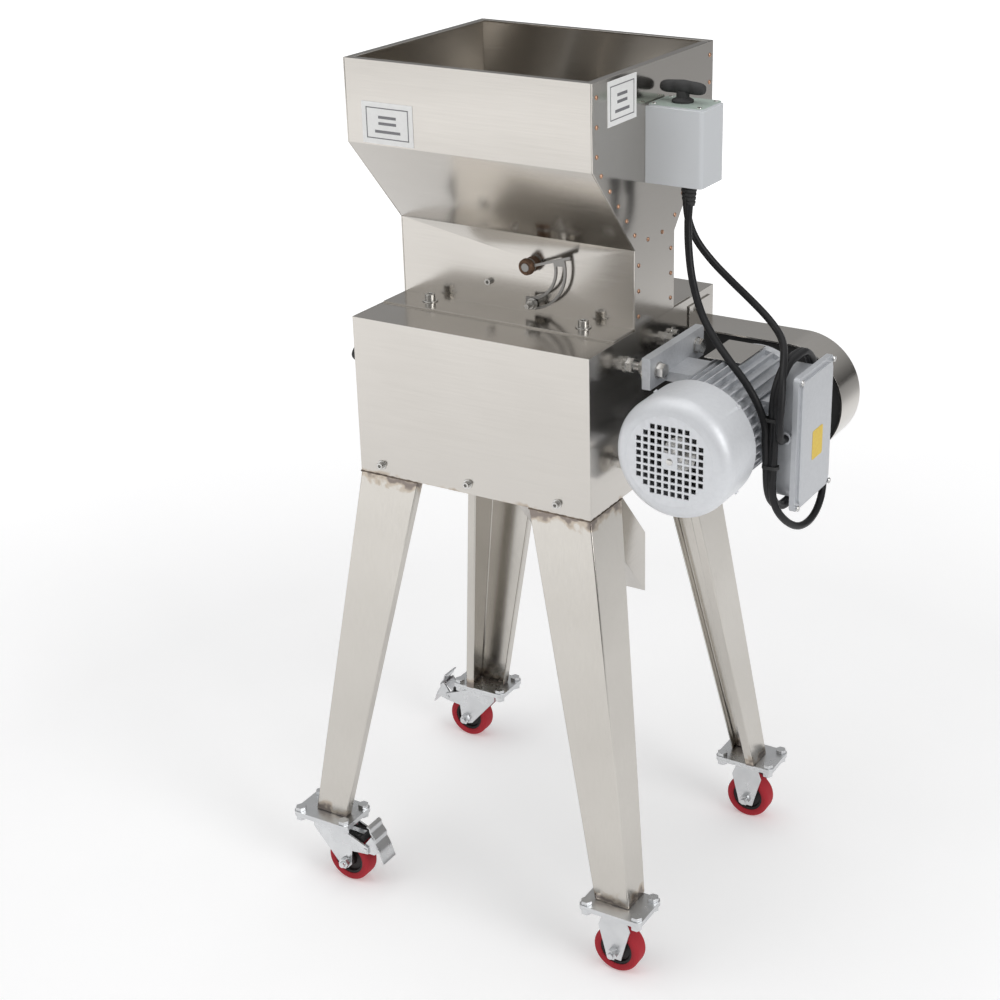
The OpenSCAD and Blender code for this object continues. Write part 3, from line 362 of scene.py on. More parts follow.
FLOOR = Finish("studio_floor", (0.86, 0.86, 0.865), (0.83, 0.83, 0.835), 0.0, (0.6, 0.7),
               scale=3.0, bump=0.0)


# ------------------------------------------------------------------ mesh building
class Facing(Enum):
    """Which way a flat outline looks: its own x, y and the way it is thickened."""

    FRONT = ((1, 0, 0), (0, 0, 1), (0, -1, 0))
    REAR = ((-1, 0, 0), (0, 0, 1), (0, 1, 0))
    RIGHT = ((0, 1, 0), (0, 0, 1), (1, 0, 0))
    LEFT = ((0, -1, 0), (0, 0, 1), (-1, 0, 0))
    UP = ((1, 0, 0), (0, 1, 0), (0, 0, 1))
    DOWN = ((1, 0, 0), (0, -1, 0), (0, 0, -1))

    def at(self, x: float, y: float, z: float) -> Matrix:
        """Puts a frame that looks this way at a point.

        Args:
            x: The point's X.
            y: The point's Y.
            z: The point's Z.

        Returns:
            The frame.
        """
        turned = Matrix(self.value).transposed().to_4x4()
        return Matrix.Translation((x, y, z)) @ turned


def rounded(width: float, height: float, radius: float, steps: int = 6) -> Outline:
    """Draws a rectangle with round corners about the origin.

    Args:
        width: Its size along its own x.
        height: Its size along its own y.
        radius: Its corner radius.
        steps: Straight pieces in each corner.

    Returns:
        Its corners, counter-clockwise.
    """
    points = []
    for quarter, (sx, sy) in enumerate(((1, 1), (-1, 1), (-1, -1), (1, -1))):
        for step in range(steps + 1):
            angle = math.pi / 2 * (quarter + step / steps)
            points.append((sx * (width / 2 - radius) + radius * math.cos(angle),
                           sy * (height / 2 - radius) + radius * math.sin(angle)))
    return points


def smooth_route(points: Sequence[Point], cuts: int = 6) -> list[Vector]:
    """Runs a Catmull-Rom curve through a route's points.

    Args:
        points: The route.
        cuts: Steps between two points.

    Returns:
        Close points along the curve.
    """
    pts = [Vector(p) for p in points]
    pts = [2 * pts[0] - pts[1], *pts, 2 * pts[-1] - pts[-2]]
    out = []
    for i in range(1, len(pts) - 2):
        a, b, c, d = pts[i - 1:i + 3]
        for step in range(cuts):
            t = step / cuts
            out.append(0.5 * (2 * b + (c - a) * t + (2 * a - 5 * b + 4 * c - d) * t * t
                              + (3 * b - a - 3 * c + d) * t ** 3))
    return [*out, pts[-2]]


def length_of(points: Sequence[Vector]) -> float:
    """Measures a line through points.

    Args:
        points: The points.

    Returns:
        The line's length.
    """
    return sum((b - a).length for a, b in zip(points, points[1:]))


def heading(line: Sequence[Vector], i: int) -> Vector:
    """Finds which way a line runs at one of its points.

    Args:
        line: The line's points.
        i: Which point.

    Returns:
        The direction from the point before to the point after, one long.
    """
    return (line[min(i + 1, len(line) - 1)] - line[max(i - 1, 0)]).normalized()


class Form:
    """A mesh put together from prisms, lathed shapes and tubes."""

    def __init__(self) -> None:
        """Starts an empty mesh."""
        self.bm = bmesh.new()

    def prism(self, outline: Sequence[Point], place: Matrix, depth: float) -> "Form":
        """Adds a flat outline with thickness.

        Args:
            outline: Its corners in its own x and y.
            place: The frame it lies in; it thickens along that frame's z.
            depth: Its thickness.

        Returns:
            This form.
        """
        low = [self.bm.verts.new(place @ Vector((x, y, 0.0))) for x, y in outline]
        high = [self.bm.verts.new(place @ Vector((x, y, depth))) for x, y in outline]
        self.bm.faces.new(low[::-1])
        self.bm.faces.new(high)
        for i in range(len(low)):
            j = (i + 1) % len(low)
            self.bm.faces.new((low[i], low[j], high[j], high[i]))
        return self

    def lathe(self, profile: Sequence[Point], place: Matrix, steps: int = 64) -> "Form":
        """Adds a closed profile turned about its frame's z.

        Args:
            profile: Radius and height of each corner, round the closed outline.
            place: The frame that it turns in.
            steps: Sides of the turned shape.

        Returns:
            This form.
        """
        on_axis = 1e-7
        rings = []
        for i in range(steps):
            angle = 2 * math.pi * i / steps
            across, along = math.cos(angle), math.sin(angle)
            rings.append([self.bm.verts.new(place @ Vector((r * across, r * along, h)))
                          for r, h in profile])
        for ring, after in zip(rings, rings[1:] + rings[:1]):
            for k in range(len(profile)):
                j = (k + 1) % len(profile)
                if profile[k][0] < on_axis and profile[j][0] < on_axis:
                    continue
                self.bm.faces.new((ring[k], after[k], after[j], ring[j]))
        return self

    def holed(self, outline: Sequence[Point], hole: float, place: Matrix, depth: float) -> "Form":
        """Adds a flat plate with a round hole at its origin.

        Args:
            outline: The plate's corners, counter-clockwise round the origin.
            hole: The hole's radius.
            place: The frame that it lies in; it thickens along that frame's z.
            depth: Its thickness.

        Returns:
            This form.
        """
        angles = [math.atan2(y, x) for x, y in outline]
        inner = [(hole * math.cos(a), hole * math.sin(a)) for a in angles]
        return self.frame(outline, inner, place, depth)

    def frame(self, outer: Sequence[Point], inner: Sequence[Point], place: Matrix,
              depth: float) -> "Form":
        """Adds the flat ring between two outlines that have as many corners.

        Args:
            outer: The outer corners.
            inner: The inner corners, in the same order.
            place: The frame that it lies in; it thickens along that frame's z.
            depth: Its thickness.

        Returns:
            This form.
        """
        levels = [[self.bm.verts.new(place @ Vector((x, y, z))) for x, y in line]
                  for line, z in ((outer, 0.0), (outer, depth), (inner, depth), (inner, 0.0))]
        for one, two in zip(levels, levels[1:] + levels[:1]):
            for i in range(len(outer)):
                j = (i + 1) % len(outer)
                self.bm.faces.new((one[i], one[j], two[j], two[i]))
        return self

    def tube(self, path: Sequence[Vector], radii: Sequence[float], steps: int = 10) -> "Form":
        """Adds a round tube with closed ends.

        Args:
            path: The points of its middle line.
            radii: Its radius at each point.
            steps: Its sides.

        Returns:
            This form.
        """
        rings = []
        for i, point in enumerate(path):
            ahead = heading(path, i)
            upright = abs(ahead.z) >= 0.9
            side = ahead.cross(Vector((0, 1, 0) if upright else (0, 0, 1))).normalized()
            lift = side.cross(ahead)
            turns = [2 * math.pi * k / steps for k in range(steps)]
            rings.append([self.bm.verts.new(
                point + radii[i] * (math.cos(turn) * side + math.sin(turn) * lift))
                for turn in turns])
        for ring, after in zip(rings, rings[1:]):
            for k in range(steps):
                j = (k + 1) % steps
                self.bm.faces.new((ring[k], ring[j], after[j], after[k]))
        self.bm.faces.new(rings[0][::-1])
        self.bm.faces.new(rings[-1])
        return self

    def merged(self) -> "Form":
        """Joins the corners of a mesh from the CAD, and the triangles of each flat face.

        Returns:
            This form.
        """
        bmesh.ops.remove_doubles(self.bm, verts=self.bm.verts, dist=CAD_THRESHOLD)
        bmesh.ops.dissolve_limit(self.bm, angle_limit=FLAT_ENOUGH, verts=self.bm.verts,
                                 edges=self.bm.edges)
        return self

    def done(self, name: str, body: str, slot: str, finish: Finish, soft: float = 0.0,
             replaces: Iterable[str] = (), steps: int = 2) -> bpy.types.Object:
        """Turns the mesh into a piece of the model.

        Args:
            name: The piece's name.
            body: The CAD body that it rides on.
            slot: The record's material slot that it belongs to; not used.
            finish: Its finish.
            soft: How far its sharp edges are rounded.
            replaces: CAD nodes that it stands for.
            steps: Segments in a rounded edge.

        Returns:
            The new object.
        """
        bmesh.ops.remove_doubles(self.bm, verts=self.bm.verts, dist=WELD_THRESHOLD)
        bmesh.ops.recalc_face_normals(self.bm, faces=self.bm.faces)
        mesh = bpy.data.meshes.new(name)
        self.bm.to_mesh(mesh)
        self.bm.free()
        made = bpy.data.objects.new(name, mesh)
        bpy.context.scene.collection.objects.link(made)
        return dressed(made, body, finish, soft, replaces, steps)


def dressed(made: bpy.types.Object, body: str, finish: Finish, soft: float = 0.0,
            replaces: Iterable[str] = (), steps: int = 2) -> bpy.types.Object:
    """Rounds a piece's edges, gives it its finish and joins it to its body.

    Args:
        made: The piece.
        body: The CAD body that it rides on.
        finish: Its finish.
        soft: How far its sharp edges are rounded.
        replaces: CAD nodes that it stands for.
        steps: Segments in a rounded edge.

    Returns:
        The piece.
    """
    if made.type == "MESH":
        if soft > 0.0:
            bevel = made.modifiers.new("rounded_edges", "BEVEL")
            bevel.width = soft
            bevel.segments = steps
            bevel.limit_method = "ANGLE"
            bevel.angle_limit = BEVELLED_EDGE
            bevel.harden_normals = False
        for polygon in made.data.polygons:
            polygon.use_smooth = True
        made.data.set_sharp_from_angle(angle=SHARP_EDGE)
    made.data.materials.clear()
    made.data.materials.append(finish.material())
    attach(made, body)
    if replaces:
        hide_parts(*replaces)
    LOG.info("piece %s on %s", made.name, body)
    return made


# ------------------------------------------------------------------ places
@dataclass
class Place:
    """A CAD node's box, with its middle and size.

    Attributes:
        node: The CAD node.
        low: The box's lowest corner.
        high: The box's highest corner.
    """

    node: str
    low: Vector = field(init=False)
    high: Vector = field(init=False)

    def __post_init__(self) -> None:
        """Reads the node's box."""
        self.low, self.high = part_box(self.node)

    @property
    def middle(self) -> Vector:
        """The middle of the box."""
        return (self.low + self.high) / 2

    @property
    def size(self) -> Vector:
        """The box's sizes along X, Y and Z."""
        return self.high - self.low


@dataclass(frozen=True)
class Lamp:
    """A soft rectangular lamp.

    Attributes:
        name: The lamp's name.
        place: Where it hangs.
        aim: The point that it lights.
        size: Its width and height.
        watts: Its power.
    """

    name: str
    place: Point
    aim: Point
    size: tuple[float, float]
    watts: float

    def build(self) -> None:
        """Hangs the lamp."""
        data = bpy.data.lights.new(self.name, "AREA")
        data.shape = "RECTANGLE"
        data.size, data.size_y = self.size
        data.energy = self.watts
        made = bpy.data.objects.new(self.name, data)
        made.location = self.place
        way = Vector(self.aim) - Vector(self.place)
        made.rotation_euler = way.to_track_quat("-Z", "Y").to_euler()
        bpy.context.scene.collection.objects.link(made)


@dataclass
class Studio:
    """The floor, the lights and the camera.

    Attributes:
        azimuth: The camera's turn from -Y towards +X, in degrees.
        elevation: Its height above level, in degrees.
        distance: How far it stands from its target.
        target: What it looks at, from the body's centre line.
        lens: Its focal length in millimetres.
        sensor: The width of its picture in millimetres.
        shift: How far the picture is shifted.
        room: The strength of the room's light.
        haze: Where the wall starts and stops turning into the ceiling, going up.
        flank: Where the wall turns dark, going towards the motor's side.
        wall: The colour of the wall.
        dark_wall: Its colour on the motor's side.
        ceiling: The colour overhead.
        glow: The floor's own light, near the machine and far from it.
        glow_reach: Where the near floor ends and the far floor starts.
        dim: The floor's own light on the motor's side.
        dim_reach: Where that side starts and where it is at its darkest.
        half_floor: Half the floor's width.
        lamps: The lamps.
    """

    azimuth: float = 28.14
    elevation: float = 23.33
    distance: float = 2.302
    target: tuple[float, float, float] = (0.1277, 0.0, 0.5788)
    lens: float = 66.6
    sensor: float = 36.0
    shift: tuple[float, float] = (-0.129, -0.024)
    room: float = 0.47
    haze: tuple[float, float] = (0.02, 0.42)
    flank: tuple[float, float] = (0.25, 0.9)
    wall: Colour = (0.16, 0.155, 0.15)
    dark_wall: Colour = (0.03, 0.028, 0.026)
    ceiling: Colour = (1.0, 1.0, 1.0)
    glow: tuple[float, float] = (0.24, 0.8)
    glow_reach: tuple[float, float] = (0.9, 3.5)
    dim: float = 0.02
    dim_reach: tuple[float, float] = (0.7, 1.5)
    half_floor: float = 40.0
    lamps: tuple[Lamp, ...] = (
        Lamp("key", (-2.2, -2.4, 2.6), (0, 0, 0.6), (2.4, 2.4), 9.0),
        Lamp("side", (2.9, -0.7, 1.9), (0.1, 0, 0.5), (1.4, 2.2), 36.0),
        Lamp("top", (-0.6, -0.4, 3.6), (-0.3, -0.2, 0.0), (3.4, 3.4), 48.0))

    def camera(self, middle: float) -> None:
        """Sets the camera.

        Args:
            middle: Where the body's centre line lies along X.
        """
        az, el = math.radians(self.azimuth), math.radians(self.elevation)
        away = Vector((math.sin(az) * math.cos(el), -math.cos(az) * math.cos(el), math.sin(el)))
        data = bpy.data.cameras.new("camera")
        made = bpy.data.objects.new("camera", data)
        target = Vector(self.target) + Vector((middle, 0.0, 0.0))
        made.location = target + self.distance * away
        made.rotation_euler = (-away).to_track_quat("-Z", "Y").to_euler()
        data.lens = self.lens
        data.sensor_width = self.sensor
        data.shift_x, data.shift_y = self.shift
        data.clip_end = 100.0
        bpy.context.scene.collection.objects.link(made)
        bpy.context.scene.camera = made

    def world(self) -> None:
        """Lights the room: bright overhead, grey at eye height, dark on the motor's side."""
        made = bpy.data.worlds.new("room")
        made.use_nodes = True
        bpy.context.scene.world = made
        tree = made.node_tree
        coords = tree.nodes.new("ShaderNodeTexCoord")
        split = tree.nodes.new("ShaderNodeSeparateXYZ")
        tree.links.new(coords.outputs["Generated"], split.inputs[0])
        ceiling = self.blend(tree, split.outputs["Z"], self.haze)
        wall = self.blend(tree, split.outputs["X"], self.flank)
        wall.inputs["A"].default_value = (*self.wall, 1.0)
        wall.inputs["B"].default_value = (*self.dark_wall, 1.0)
        ceiling.inputs["B"].default_value = (*self.ceiling, 1.0)
        tree.links.new(wall.outputs["Result"], ceiling.inputs["A"])
        tree.links.new(ceiling.outputs["Result"], tree.nodes["Background"].inputs["Color"])
        tree.nodes["Background"].inputs["Strength"].default_value = self.room

    @staticmethod
    def blend(tree: bpy.types.NodeTree, value: Socket, given: Point) -> bpy.types.Node:
        """Adds a colour mix that follows a value.

        Args:
            tree: The node tree to add it to.
            value: The value that it follows.
            given: Where the mix starts and where it ends.

        Returns:
            The mix node.
        """
        spread = tree.nodes.new("ShaderNodeMapRange")
        for name, end in zip(("From Min", "From Max"), given):
            spread.inputs[name].default_value = end
        mix = tree.nodes.new("ShaderNodeMix")
        mix.data_type = "RGBA"
        tree.links.new(value, spread.inputs["Value"])
        tree.links.new(spread.outputs["Result"], mix.inputs["Factor"])
        return mix

    def floor(self) -> None:
        """Lays a pale floor that stays bright far from the lamps."""
        mesh = bpy.data.meshes.new("floor")
        w = self.half_floor
        mesh.from_pydata([(-w, -w, 0), (w, -w, 0), (w, w, 0), (-w, w, 0)], [], [(0, 1, 2, 3)])
        made = bpy.data.objects.new("floor", mesh)
        bpy.context.scene.collection.objects.link(made)
        finish = FLOOR.material()
        tree, shader = finish.node_tree, finish.node_tree.nodes["Principled BSDF"]
        coords = tree.nodes.new("ShaderNodeTexCoord")
        reach = tree.nodes.new("ShaderNodeVectorMath")
        reach.operation = "LENGTH"
        tree.links.new(coords.outputs["Object"], reach.inputs[0])
        glow = self.blend(tree, reach.outputs["Value"], self.glow_reach)
        for name, strength in zip("AB", self.glow):
            glow.inputs[name].default_value = (strength,) * 3 + (1.0,)
        split = tree.nodes.new("ShaderNodeSeparateXYZ")
        tree.links.new(coords.outputs["Object"], split.inputs[0])
        side = self.blend(tree, split.outputs["X"], self.dim_reach)
        side.inputs["B"].default_value = (self.dim,) * 3 + (1.0,)
        tree.links.new(glow.outputs["Result"], side.inputs["A"])
        tree.links.new(side.outputs["Result"], shader.inputs["Emission Color"])
        shader.inputs["Emission Strength"].default_value = 1.0
        made.data.materials.append(finish)

    def build(self) -> None:
        """Makes the floor, the lamps and the room."""
        self.floor()
        bpy.context.scene.view_settings.view_transform = "Standard"
        for lamp in self.lamps:
            lamp.build()
        self.world()


# ------------------------------------------------------------------ leads
@dataclass
class Leads:
    """The two black leads, the hank round the terminal box and the plug.

    Attributes:
        middle: Where the body's centre line lies along X.
        diameter: The leads' diameter.
        turns: The hank's turns.
        per_turn: Points in each turn.
        straight: Half of the straight run over and under the box.
        motor_route: The motor lead's points, from the body's centre line.
        mains_route: The mains lead's points from the switch to the hank.
        tail_route: Its points from the hank to the plug.
    """

    middle: float
    diameter: float = 0.009
    turns: int = 2
    per_turn: int = 20
    straight: float = 0.008
    motor_route: tuple[Point, ...] = (
        (0.200, 0.006, 0.961), (0.199, 0.007, 0.940), (0.201, 0.009, 0.915), (0.210, 0.013, 0.890),
        (0.228, 0.018, 0.866), (0.250, 0.022, 0.845), (0.275, 0.022, 0.826), (0.300, 0.016, 0.810),
        (0.322, 0.002, 0.798), (0.338, -0.020, 0.792), (0.350, -0.045, 0.785),
        (0.358, -0.066, 0.770), (0.363, -0.078, 0.750), (0.364, -0.084, 0.728),
        (0.364, -0.083, 0.710), (0.363, -0.076, 0.699), (0.362, -0.066, 0.696),
        (0.362, -0.051, 0.696))
    mains_route: tuple[Point, ...] = (
        (0.212, -0.008, 0.961), (0.211, -0.009, 0.940), (0.211, -0.012, 0.915),
        (0.216, -0.019, 0.885), (0.226, -0.029, 0.855), (0.243, -0.041, 0.824),
        (0.266, -0.054, 0.800), (0.292, -0.065, 0.779), (0.315, -0.071, 0.759),
        (0.332, -0.074, 0.737), (0.342, -0.074, 0.713))
    tail_route: tuple[Point, ...] = (
        (0.352, -0.071, 0.636), (0.354, -0.069, 0.618), (0.358, -0.062, 0.602),
        (0.363, -0.046, 0.585), (0.367, -0.025, 0.573), (0.369, -0.001, 0.569),
        (0.369, 0.023, 0.573), (0.367, 0.044, 0.585), (0.362, 0.060, 0.602),
        (0.355, 0.067, 0.618), (0.350, 0.069, 0.630), (0.350, 0.069, 0.640))

    def placed(self, route: Sequence[Point]) -> list[Vector]:
        """Moves a route from the body's centre line into the model's frame.

        Args:
            route: The route's points.

        Returns:
            The moved points.
        """
        return [Vector((x + self.middle, y, z)) for x, y, z in route]

    def hank(self) -> list[Vector]:
        """Winds the spare lead down the front, under, up the back and over the top.

        Returns:
            The points of the turns, ending at the top of the front strand.
        """
        ring = Place("mains_coil")
        half_y = (ring.size.y - self.diameter) / 2
        half_z = (ring.size.z - self.diameter) / 2
        bend = half_y - self.straight
        points = []
        count = self.turns * self.per_turn
        for step in range(count):
            angle = math.pi * (1.0 + 2.0 * (step + 0.5) / self.per_turn)
            across, up = math.cos(angle), math.sin(angle)
            part = step / (count - 1)
            x = ring.low.x + self.diameter / 2 + part * (ring.size.x - self.diameter)
            y = ring.middle.y + math.copysign(half_y - bend, across) + bend * across
            z = ring.middle.z + math.copysign(half_z - bend, up) + bend * up
            points.append(Vector((x, y, z)))
        return points

    @staticmethod
    def evened(points: Sequence[Vector], step: float = 0.017) -> list[Vector]:
        """Puts points into the long straight runs, so that the line bends evenly at their ends.

        Args:
            points: The points of a route.
            step: The spacing that a long run gets.

        Returns:
            The route with its long runs divided.
        """
        full = [points[0]]
        for start, end in zip(points, points[1:]):
            gap = (end - start).length
            parts = max(round(gap / step), 1) if gap > 2.5 * step else 1
            full += [start.lerp(end, part / parts) for part in range(1, parts + 1)]
        return full

    def lead(self, name: str, points: list[Vector], nodes: Sequence[str], far_end: str,
             lay: str, extra: Sequence[bpy.types.Object] = ()) -> None:
        """Args:
            name: The piece's name.
            points: The points of its smooth line.
            nodes: The CAD nodes that it stands for.
            far_end: What is on its far end; not used.
            lay: How it lies; not used.
            extra: The pieces that go with it.
        """
        curve = bpy.data.curves.new(name, "CURVE")
        curve.dimensions = "3D"
        curve.bevel_depth = self.diameter / 2
        curve.bevel_resolution = 5
        curve.use_fill_caps = True
        spline = curve.splines.new("POLY")
        spline.points.add(len(points) - 1)
        for knot, point in zip(spline.points, points):
            knot.co = (*point, 1.0)
        made = bpy.data.objects.new(name, curve)
        bpy.context.scene.collection.objects.link(made)
        dressed(made, "frame", RUBBER, replaces=nodes)
        length_of(points)
        list(extra)
        LOG.info("%s is %.3f m long", name, length_of(points))

    def plug(self) -> bpy.types.Object:
        """Makes the round plug with its grip and two pins.

        Returns:
            The plug.
        """
        place = Place("mains_plug")
        foot = Facing.UP.at(place.middle.x, place.middle.y, place.low.z)
        form = Form().lathe(((0, 0), (0.0062, 0), (0.0068, 0.002), (0.0078, 0.011), (0.012, 0.013),
                             (0.0146, 0.016), (0.0148, 0.020), (0.0140, 0.024), (0.0148, 0.028),
                             (0.0148, 0.036), (0.014, 0.038), (0, 0.038)), foot, 48)
        for side in (-1, 1):
            pin = Facing.UP.at(place.middle.x + side * 0.006, place.middle.y,
                               place.low.z + 0.0375)
            form.lathe(((0, 0), (0.0023, 0), (0.0023, 0.0165), (0.0014, 0.0183), (0, 0.0185)),
                       pin, 20)
        return form.done("plug_body", "frame", "black_rubber", BLACK_PLASTIC,
                         replaces=("mains_plug",))

    def build(self) -> None:
        """Makes both leads and the plug."""
        motor = smooth_route(self.placed(self.motor_route))
        self.lead("motor_lead_line", motor, ("motor_lead",), "object", "hanging")
        plug = self.plug()
        spine = [*self.placed(self.mains_route), *self.hank(), *self.placed(self.tail_route)]
        self.lead("mains_lead_line", smooth_route(self.evened(spine)),
                  ("mains_lead", "mains_coil"), "plug", "coiled", [plug])


# ------------------------------------------------------------------ carried-over metalwork
@dataclass
class Metalwork:
    """CAD nodes whose shape is right: each gets rounded edges and its own finish.

    Attributes:
        plan: For each node, its finish and how far its edges are rounded.
    """

    plan: dict[str, tuple[Finish, float]] = field(default_factory=lambda: {
        "body_shell": (SHEET, 0.0006), "front_cover": (SHEET, 0.0012),
        "body_screws": (SCREW, 0.0003),
        "leg_front_left": (LEG, 0.0015), "leg_front_right": (LEG, 0.0015),
        "leg_rear_left": (LEG, 0.0015), "leg_rear_right": (LEG, 0.0015),
        "foot_plates": (ZINC, 0.0006), "foot_bolts": (ZINC, 0.0005),
        "rigid_forks": (ZINC, 0.0006), "swivel_plates": (ZINC, 0.0006),
        "fork_front_left": (ZINC, 0.0006), "fork_rear_left": (ZINC, 0.0006),
        "hopper_front_sheet": (HOPPER, 0.0007), "hopper_rear_sheet": (HOPPER, 0.0007),
        "hopper_left_panel": (HOPPER, 0.0005), "hopper_right_panel": (HOPPER, 0.0005),
        "flange_bolts": (SCREW, 0.0005), "feed_baffles": (HOPPER, 0.0005),
        "gate_flap": (DARK_STEEL, 0.0004), "gate_sector": (DARK_STEEL, 0.0004),
        "chute": (HOPPER, 0.0006), "bearing_plates": (DARK_STEEL, 0.0008),
        "fixed_bearings": (SCREW, 0.0006), "sliding_blocks": (DARK_STEEL, 0.0008),
        "sliding_bearings": (SCREW, 0.0006), "drive_roller": (DARK_STEEL, 0.0),
        "driven_roller": (DARK_STEEL, 0.0), "drive_gear": (DARK_STEEL, 0.0004),
        "driven_gear": (DARK_STEEL, 0.0004), "roller_pulley": (DARK_STEEL, 0.0006),
        "motor_pulley": (DARK_STEEL, 0.0006), "drive_belt": (BELT, 0.0006),
        # the guard's back plate is given black plastic: a dark sheet that paints in the shade
        # inside the open belt guard
        "belt_guard": (SHEET, 0.0012), "guard_back_plate": (BLACK_PLASTIC, 0.0004),
        "motor_housing": (FIN_ENAMEL, 0.0006), "motor_rotor": (SCREW, 0.0),
        "fan_cowl": (ENAMEL, 0.0006), "motor_studs": (SCREW, 0.0005),
        "terminal_box": (BOX_ENAMEL, 0.001), "terminal_lid": (BOX_ENAMEL, 0.0022),
        "switch_housing": (SWITCH_GREY, 0.0015), "front_dial_hand": (ARC_RED, 0.0002),
        "rear_dial_hand": (ARC_RED, 0.0002),
    })

    def refine(self, node: str, body: str, slot: str) -> None:
        """Copies a CAD node, rounds the copy's edges and lets it stand for the node.

        Args:
            node: The CAD node.
            body: The body that it belongs to.
            slot: Its material slot in the record.
        """
        finish, soft = self.plan[node]
        form = Form()
        form.bm.from_mesh(bpy.data.objects[node].data)
        form.merged().done(node + "_skin", body, slot, finish, soft, (node,))

    def build(self, record: dict) -> None:
        """Refines every node in the plan.

        Args:
            record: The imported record, which says each node's body and slot.
        """
        slots = {part["node"]: part["material_slot"] for part in record["subparts"]}
        bodies = record["behaviour"]["bodies"]
        owners = {node: body for body, nodes in bodies.items() for node in nodes}
        for node in self.plan:
            self.refine(node, owners[node], slots[node])


# ------------------------------------------------------------------ casters
@dataclass
class CasterWheel:
    """One red-tyred wheel with its dark hub.

    Attributes:
        node: The CAD wheel.
        body: The body that it turns with.
        washer: How far the hub's middle stands out on each side.
        shoulder: The radius of the tread's shoulders.
    """

    node: str
    body: str
    washer: float = 0.001
    shoulder: float = 0.0042

    def build(self) -> None:
        """Makes the tread and the hub."""
        place = Place(self.node)
        c = place.middle
        r = place.size.z / 2
        w = place.size.y / 2 - self.washer
        frame = Facing.REAR.at(c.x, c.y, c.z)
        bend = self.shoulder
        shoulder = [(r - bend + bend * math.sin(a), w - bend + bend * math.cos(a))
                    for a in [math.radians(15 * k) for k in range(7)]]
        outer = [(r - 0.0095, w - 0.0015), (r - 0.006, w), *shoulder]
        tread = outer + [(x, -y) for x, y in reversed(outer)]
        Form().lathe(tread, frame, 96).done(self.node + "_tread", self.body, "red_tread", TREAD,
                                            replaces=(self.node,))
        half = [(0.0041, w + self.washer), (0.0085, w + self.washer), (0.0095, w),
                (0.0105, 0.0065), (r - 0.014, 0.0055), (r - 0.0125, w - 0.0035),
                (r - 0.0094, w - 0.0028)]
        hub = half + [(x, -y) for x, y in reversed(half)]
        Form().lathe(hub, frame, 64).done(self.node + "_hub", self.body, "black_plastic", HUB)


